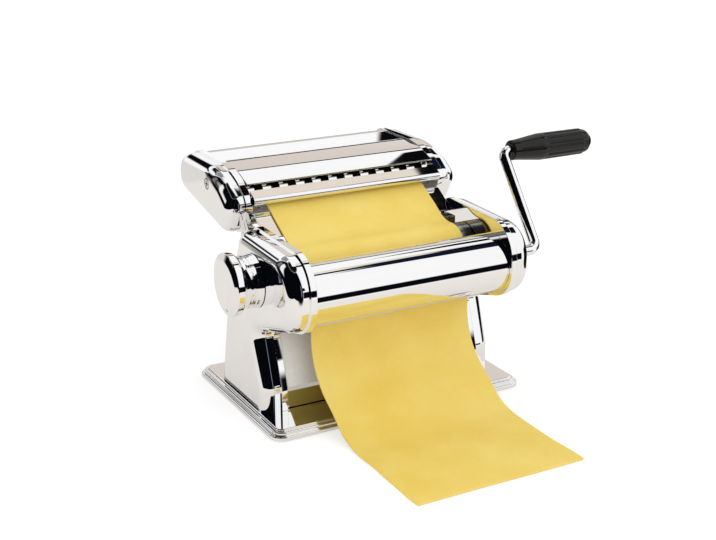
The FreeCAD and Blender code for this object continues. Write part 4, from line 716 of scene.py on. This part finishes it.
depth = flute.outputs[0]
for factor in (begun.outputs[0], skin_only.outputs[0], sizes["Depth"], -1.0):
    depth = node(tree, "ShaderNodeMath", {0: depth, 1: factor}, operation="MULTIPLY").outputs[0]
push = node(tree, "ShaderNodeVectorMath", {0: unit.outputs[0], "Scale": depth}, operation="SCALE")
cut = node(tree, "GeometryNodeSetPosition", {"Geometry": sizes["Mesh"], "Offset": push.outputs[0]})
end_tree(tree, cut.outputs[0], moulded)
body = rounded([(GRIP_START, GRIP_NECK - 0.9), (GRIP_START + 0.9, GRIP_NECK), (GRIP_START + 6, GRIP_NECK + 0.3),
                (GRIP_START + 25, GRIP_WIDE), (GRIP_END - 0.6, GRIP_WIDE - 0.2), (GRIP_END, GRIP_WIDE - 0.8)],
               {1: 0.8, 2: 8.0, 3: 20.0}, closed=False, step=2)
dense = []
for a, b in zip(body, body[1:]):
    pieces = max(1, math.ceil((b - a).length / DENSE))
    dense += [tuple(a + (b - a) * k / pieces) for k in range(pieces)]
dense += [tuple(body[-1]), (GRIP_END, GRIP_BORE), (GRIP_START, GRIP_BORE)]
grip = turned("fluted_grip", dense, GRIP_Y, GRIP_Z, moulded, ring=True, segments=168)
grown(grip, tree, **flute_sizes)
finish(grip, "crank_grip", sharp=50)
cap = rounded([(180.5, 3.8), (183.0, 3.8), (183.0, 8.9), (186.6, 8.9), (191.0, 4.6), (191.0, 2.0)],
              {3: 4.5, 4: 1.2}, closed=False, step=6)
finish(turned("grip_end_cap", [tuple(p) for p in cap], GRIP_Y, GRIP_Z, moulded), "grip_cap", sharp=50)

# ------------------------------------------------------------------ cutter head's ends
# The noodle cutter is a unit of its own: two chromed end plates with pressed covers, screwed on with one
# countersunk cross-head screw each, and held together by two tie rods with nuts.
CUTTER_Z, CUTTER_PLATE = 144.8, 80.0
for side in ("left", "right"):
    refined("cutter_" + side + "_plate", chrome, bevel=0.5)
CUTTER_LINE = rounded([(11.0, 143.24), (27.36, 155.0), (40.0, 160.0), (54.0, 162.2), (111.3, 162.2),
                       (107.8, 134.76), (24.72, 118.4)],
                      {0: 9.8, 1: 30.0, 2: 40.0, 3: 40.0, 4: 13.0, 5: 12.0, 6: 12.0})[::-1]
for side, sign, holes in (("left", -1, [(51.7, 150.5, 4.1)]),
                          ("right", 1, [(61.75, 137.6, 4.1), (33.0, CUTTER_Z, 7.5), (72.5, CUTTER_Z, 7.5)])):
    cover = pressed_cover("cutter_" + side + "_shell", CUTTER_LINE, sign, CUTTER_PLATE)
    low, high = sorted((sign * DRILL_FROM, sign * DRILL_TO))
    for y, z, radius in holes:
        bored(cover, low, high, y, z, radius)
    finish(cover, "cutter_" + side + "_cover")
refined("cutter_cover_screws", steel, bevel=0.3)
refined("cutter_tie_rods", steel, bevel=0.2)
nuts_at("cutter_end_nuts", "cutter_tie_nuts", ((29.0, 126.5), (104.2, 150.5)), CUTTER_PLATE, 0.8)

# ------------------------------------------------------------------ cutter head's top
# Three folded chromed sheets between the end plates: a sloping guide with a rolled lip at the front, then two
# covers, with the slots between them where the dough goes in.
LIP_Y, LIP_Z, LIP_RADIUS, LIP_CURL, LIP_STEPS = 12.7, 144.6, 3.1, 300, 60
GUIDE_SLOPE, GUIDE_LENGTH = math.radians(32), 7.0
guide = []
for k in range(LIP_STEPS + 1):
    a = GUIDE_SLOPE + math.radians(90 + LIP_CURL * k / LIP_STEPS)
    guide.append((LIP_Y + LIP_RADIUS * math.cos(a), LIP_Z + LIP_RADIUS * math.sin(a)))
along = Vector((math.cos(GUIDE_SLOPE), math.sin(GUIDE_SLOPE)))
top_end = Vector(guide[0]) + along * GUIDE_LENGTH
guide += [tuple(top_end + Vector((along.y, -along.x)) * PANEL_THICK)]
guide = [tuple(top_end)] + guide
lip = loft("rolled_lip_guide", [[(x, y, z) for y, z in guide] for x in (-SIDE, SIDE)], sheet_chrome)
finish(lip, "front_guide")
finish(folded("centre_sheet", [(21.5, 154.8), (38.0, 160.8), (60.3, 162.3)], {1: 34.0}, PANEL_THICK, step=0.8),
       "centre_cover")
finish(folded("rear_top_sheet", [(62.9, 162.5), (91.0, 162.8), (104.0, 161.2), (109.5, 156.0), (110.1, 141.4)],
              {1: 20.0, 2: 8.0, 3: 5.0}, PANEL_THICK, step=1.5), "rear_cover")

# ------------------------------------------------------------------ cutting rollers
# Four steel shafts with rings turned into them: 6.5 mm wide for ribbons on the front pair and 2 mm for fine
# noodles on the rear pair. Each ring runs in its partner's groove. Shafts and grooves are coloured near black,
# painted shade for the dark gaps between the rings, and the rings are chrome plated.

# Painted shade on the shafts and the grooves' floors: a nearly black steel with a dull shine that comes and goes,
# so that the gaps between the rings read dark.
groove_painted_shade = patterned("near_black_painted_shade_steel", ("#0C0C0D", "#1A1A1B"), (0.3, 0.55), {"Metallic": 1.0}, scale=90.0,
                      detail=4.0)

ring_sizes = {"Count": 12, "Pitch": 13.0 * MM, "First": 0.0, "Width": 6.4 * MM, "Radius": 9.5 * MM, "AxisY": 0.0,
              "AxisZ": CUTTER_Z * MM}
tree, sizes = sized_tree("cutting_rings", **ring_sizes)
start = node(tree, "ShaderNodeCombineXYZ", {"X": sizes["First"], "Y": sizes["AxisY"], "Z": sizes["AxisZ"]})
stride = node(tree, "ShaderNodeCombineXYZ", {"X": sizes["Pitch"]})
spots = node(tree, "GeometryNodeMeshLine", {"Count": sizes["Count"], "Start Location": start.outputs[0],
                                            "Offset": stride.outputs[0]})
disc = node(tree, "GeometryNodeMeshCylinder", {"Vertices": 48, "Radius": sizes["Radius"], "Depth": sizes["Width"]})
discs = node(tree, "GeometryNodeInstanceOnPoints", {"Points": spots.outputs[0], "Instance": disc.outputs[0],
                                                    "Rotation": (0, math.pi / 2, 0)})
real = node(tree, "GeometryNodeRealizeInstances", {0: discs.outputs[0]})
bright = node(tree, "GeometryNodeSetMaterial", {"Geometry": real.outputs[0], "Material": chrome})
shaft = node(tree, "GeometryNodeJoinGeometry", {0: sizes["Mesh"]})
tree.links.new(bright.outputs[0], shaft.inputs[0])
node(tree, "NodeGroupOutput", {0: shaft.outputs[0]})
CORE, CORE_SIDE, LEFT_END, JOURNAL = 8.0, 74.5, -79.5, 5.0
DRIVEN_END, DRIVEN_JOURNAL, FREE_END = 88.5, 6.0, 85.3
SOCKET_DEPTH, SOCKET_RADIUS, RING_PLAY = 16, 4.05, 0.1
for cad, y, pitch, count, driven in (
        ("wide_cutter_front", 33.0, 13.0, 12, True), ("wide_cutter_rear", 51.0, 13.0, 11, False),
        ("fine_cutter_front", 72.5, 4.0, 36, True), ("fine_cutter_rear", 90.5, 4.0, 35, False)):
    right_end, journal = (DRIVEN_END, DRIVEN_JOURNAL) if driven else (FREE_END, JOURNAL)
    # the shafts' cores carry the near-black painted shade of the grooves
    core = turned(cad + "_turned", [(LEFT_END, JOURNAL), (-CORE_SIDE, JOURNAL), (-CORE_SIDE, CORE),
                                    (CORE_SIDE, CORE), (CORE_SIDE, journal), (right_end, journal)],
                  y, CUTTER_Z, groove_painted_shade, segments=48)
    if driven:
        bored(core, right_end - SOCKET_DEPTH, right_end + 1, y, CUTTER_Z, SOCKET_RADIUS)
    ring_sizes.update(Count=count, Pitch=pitch * MM, First=-pitch * (count - 1) / 2 * MM,
                      Width=(pitch / 2 - RING_PLAY) * MM, AxisY=y * MM)
    finish(grown(core, tree, **ring_sizes), cad)

# ------------------------------------------------------------------ rails and shoes
# Two steel rails on the side plates and the grooved shoes under the cutter head, which slides on them to the
# rear to come off. Milled bar, chrome plated.
for cad in ("cutter_rails", "cutter_shoes"):
    refined(cad, chrome, bevel=0.4)

# ------------------------------------------------------------------ dough
# One sheet of fresh egg dough, 1.4 mm thick and 126 mm wide, on its way down the feed plate into the rollers,
# and the sheet that has come out, which hangs over the base and lies on the table.

# Fresh egg dough: a warm yellow with paler blotches of flour, matt, with a faint grain from the rollers.
dough, tree, place = new_material("floured_egg_dough")
blotches = node(tree, "ShaderNodeTexNoise", {"Vector": place, "Scale": 26.0, "Detail": 4.0, "Roughness": 0.55})
flour = node(tree, "ShaderNodeTexNoise", {"Vector": place, "Scale": 420.0, "Detail": 3.0, "Roughness": 0.7})
dusty = node(tree, "ShaderNodeMapRange", {"Value": flour.outputs[0], "From Min": 0.55, "From Max": 0.8})
patches = node(tree, "ShaderNodeMapRange", {"Value": blotches.outputs[0], "From Min": 0.35, "From Max": 0.68})
tone = node(tree, "ShaderNodeMix", {0: patches.outputs[0], 6: linear("#EDCE5E"), 7: linear("#F2D874")},
            data_type="RGBA")
dusted = node(tree, "ShaderNodeMath", {0: dusty.outputs[0], 1: 0.35}, operation="MULTIPLY")
tone = node(tree, "ShaderNodeMix", {0: dusted.outputs[0], 6: tone.outputs[2], 7: linear("#F3E3A6")},
            data_type="RGBA")
dull = node(tree, "ShaderNodeMapRange", {"Value": blotches.outputs[0], "To Min": 0.45, "To Max": 0.75})
pull = node(tree, "ShaderNodeMapping", {"Vector": place, "Scale": (600.0, 60.0, 60.0)})
grain = node(tree, "ShaderNodeTexNoise", {"Vector": pull.outputs[0], "Scale": 1.0, "Detail": 3.0})
bumps = node(tree, "ShaderNodeBump", {"Height": grain.outputs[0], "Strength": 0.25, "Distance": 0.0002})
skin = node(tree, "ShaderNodeBsdfPrincipled", {"Base Color": tone.outputs[2], "Roughness": dull.outputs[0],
                                               "IOR": 1.42, "Normal": bumps.outputs[0]})
node(tree, "ShaderNodeOutputMaterial", {"Surface": skin.outputs[0]})

DOUGH_THICK, DOUGH_WIDTH, COLUMNS, RAGGED, WAVE_HEIGHT = 1.4, 126.0, 42, 0.35, 0.22


def course(start, heading, moves, step=1.5):
    """Points, their left-hand sides and distances along straights (length, 0) and bends (radius, degrees)."""
    spot, heading, gone = Vector(start), math.radians(heading), 0.0
    marks = []
    for size, turn in moves:
        run = size if not turn else size * abs(math.radians(turn))
        pieces = math.ceil(run / step)
        for _ in range(pieces):
            marks.append((spot.copy(), Vector((-math.sin(heading), math.cos(heading))), gone))
            swing = math.radians(turn) / pieces
            heading += swing / 2
            spot += Vector((math.cos(heading), math.sin(heading))) * (run / pieces)
            heading += swing / 2
            gone += run / pieces
    marks.append((spot.copy(), Vector((-math.sin(heading), math.cos(heading))), gone))
    return marks


def rolled_sheet(name, cad, marks, x_low, loose):
    """A strip along a course, held flat up to loose mm and waved and a little ragged after it."""
    length = marks[-1][2]
    upper, lower = [], []
    for spot, side, gone in marks:
        free = max(0.0, gone - loose) / (length - loose)
        free = min(1.0, free * 3)
        left = RAGGED * (1 + math.sin(gone / 11) * 0.6 + math.sin(gone / 4.7 + 1) * 0.4) * free
        right = RAGGED * (1 + math.sin(gone / 9 + 2) * 0.6 + math.sin(gone / 5.3) * 0.4) * free
        for k in range(COLUMNS + 1):
            x = x_low + left + (DOUGH_WIDTH - left - right) * k / COLUMNS
            wave = WAVE_HEIGHT * free * (math.sin(x / 17 + gone / 23) + math.sin(x / 31 - gone / 15 + 1) + 1.2)
            lift = side * (-wave)
            for rows, out in ((upper, DOUGH_THICK / 2), (lower, -DOUGH_THICK / 2)):
                p = spot + lift + side * out
                rows.append((x, p.x, p.y))
    wide = COLUMNS + 1
    faces = []
    for i in range(len(marks) - 1):
        for k in range(COLUMNS):
            a = i * wide + k
            faces.append((a, a + 1, a + 1 + wide, a + wide))
    count = len(upper)
    faces += [tuple(count + v for v in face[::-1]) for face in faces]
    rim = list(range(wide)) + [i * wide + COLUMNS for i in range(1, len(marks))]
    rim += [(len(marks) - 1) * wide + k for k in range(COLUMNS - 1, -1, -1)]
    rim += [i * wide for i in range(len(marks) - 2, 0, -1)]
    for a, b in zip(rim, rim[1:] + rim[:1]):
        faces.append((b, a, a + count, b + count))
    sheet = made(name, upper + lower, faces, dough)
    modifier(sheet, "BEVEL", width=0.35 * MM, segments=2, limit_method="ANGLE", angle_limit=math.radians(60))
    finish(sheet, cad, sharp=50)


marks = course((18.1, 140.66), -148.2, [(32.13, 0), (30.0, -34.93), (17.5, 70.26)])
rolled_sheet("dough_going_in", "dough_sheet_upper", marks, -63.0, 0.0)
marks = course((-44.2, 95.0), -90.0, [(33.8, 0), (46.0, -55.0), (23.67, 0), (50.0, -35.0), (73.62, 0)])
rolled_sheet("dough_coming_out", "dough_sheet_lower", marks, -60.0, 60.0)
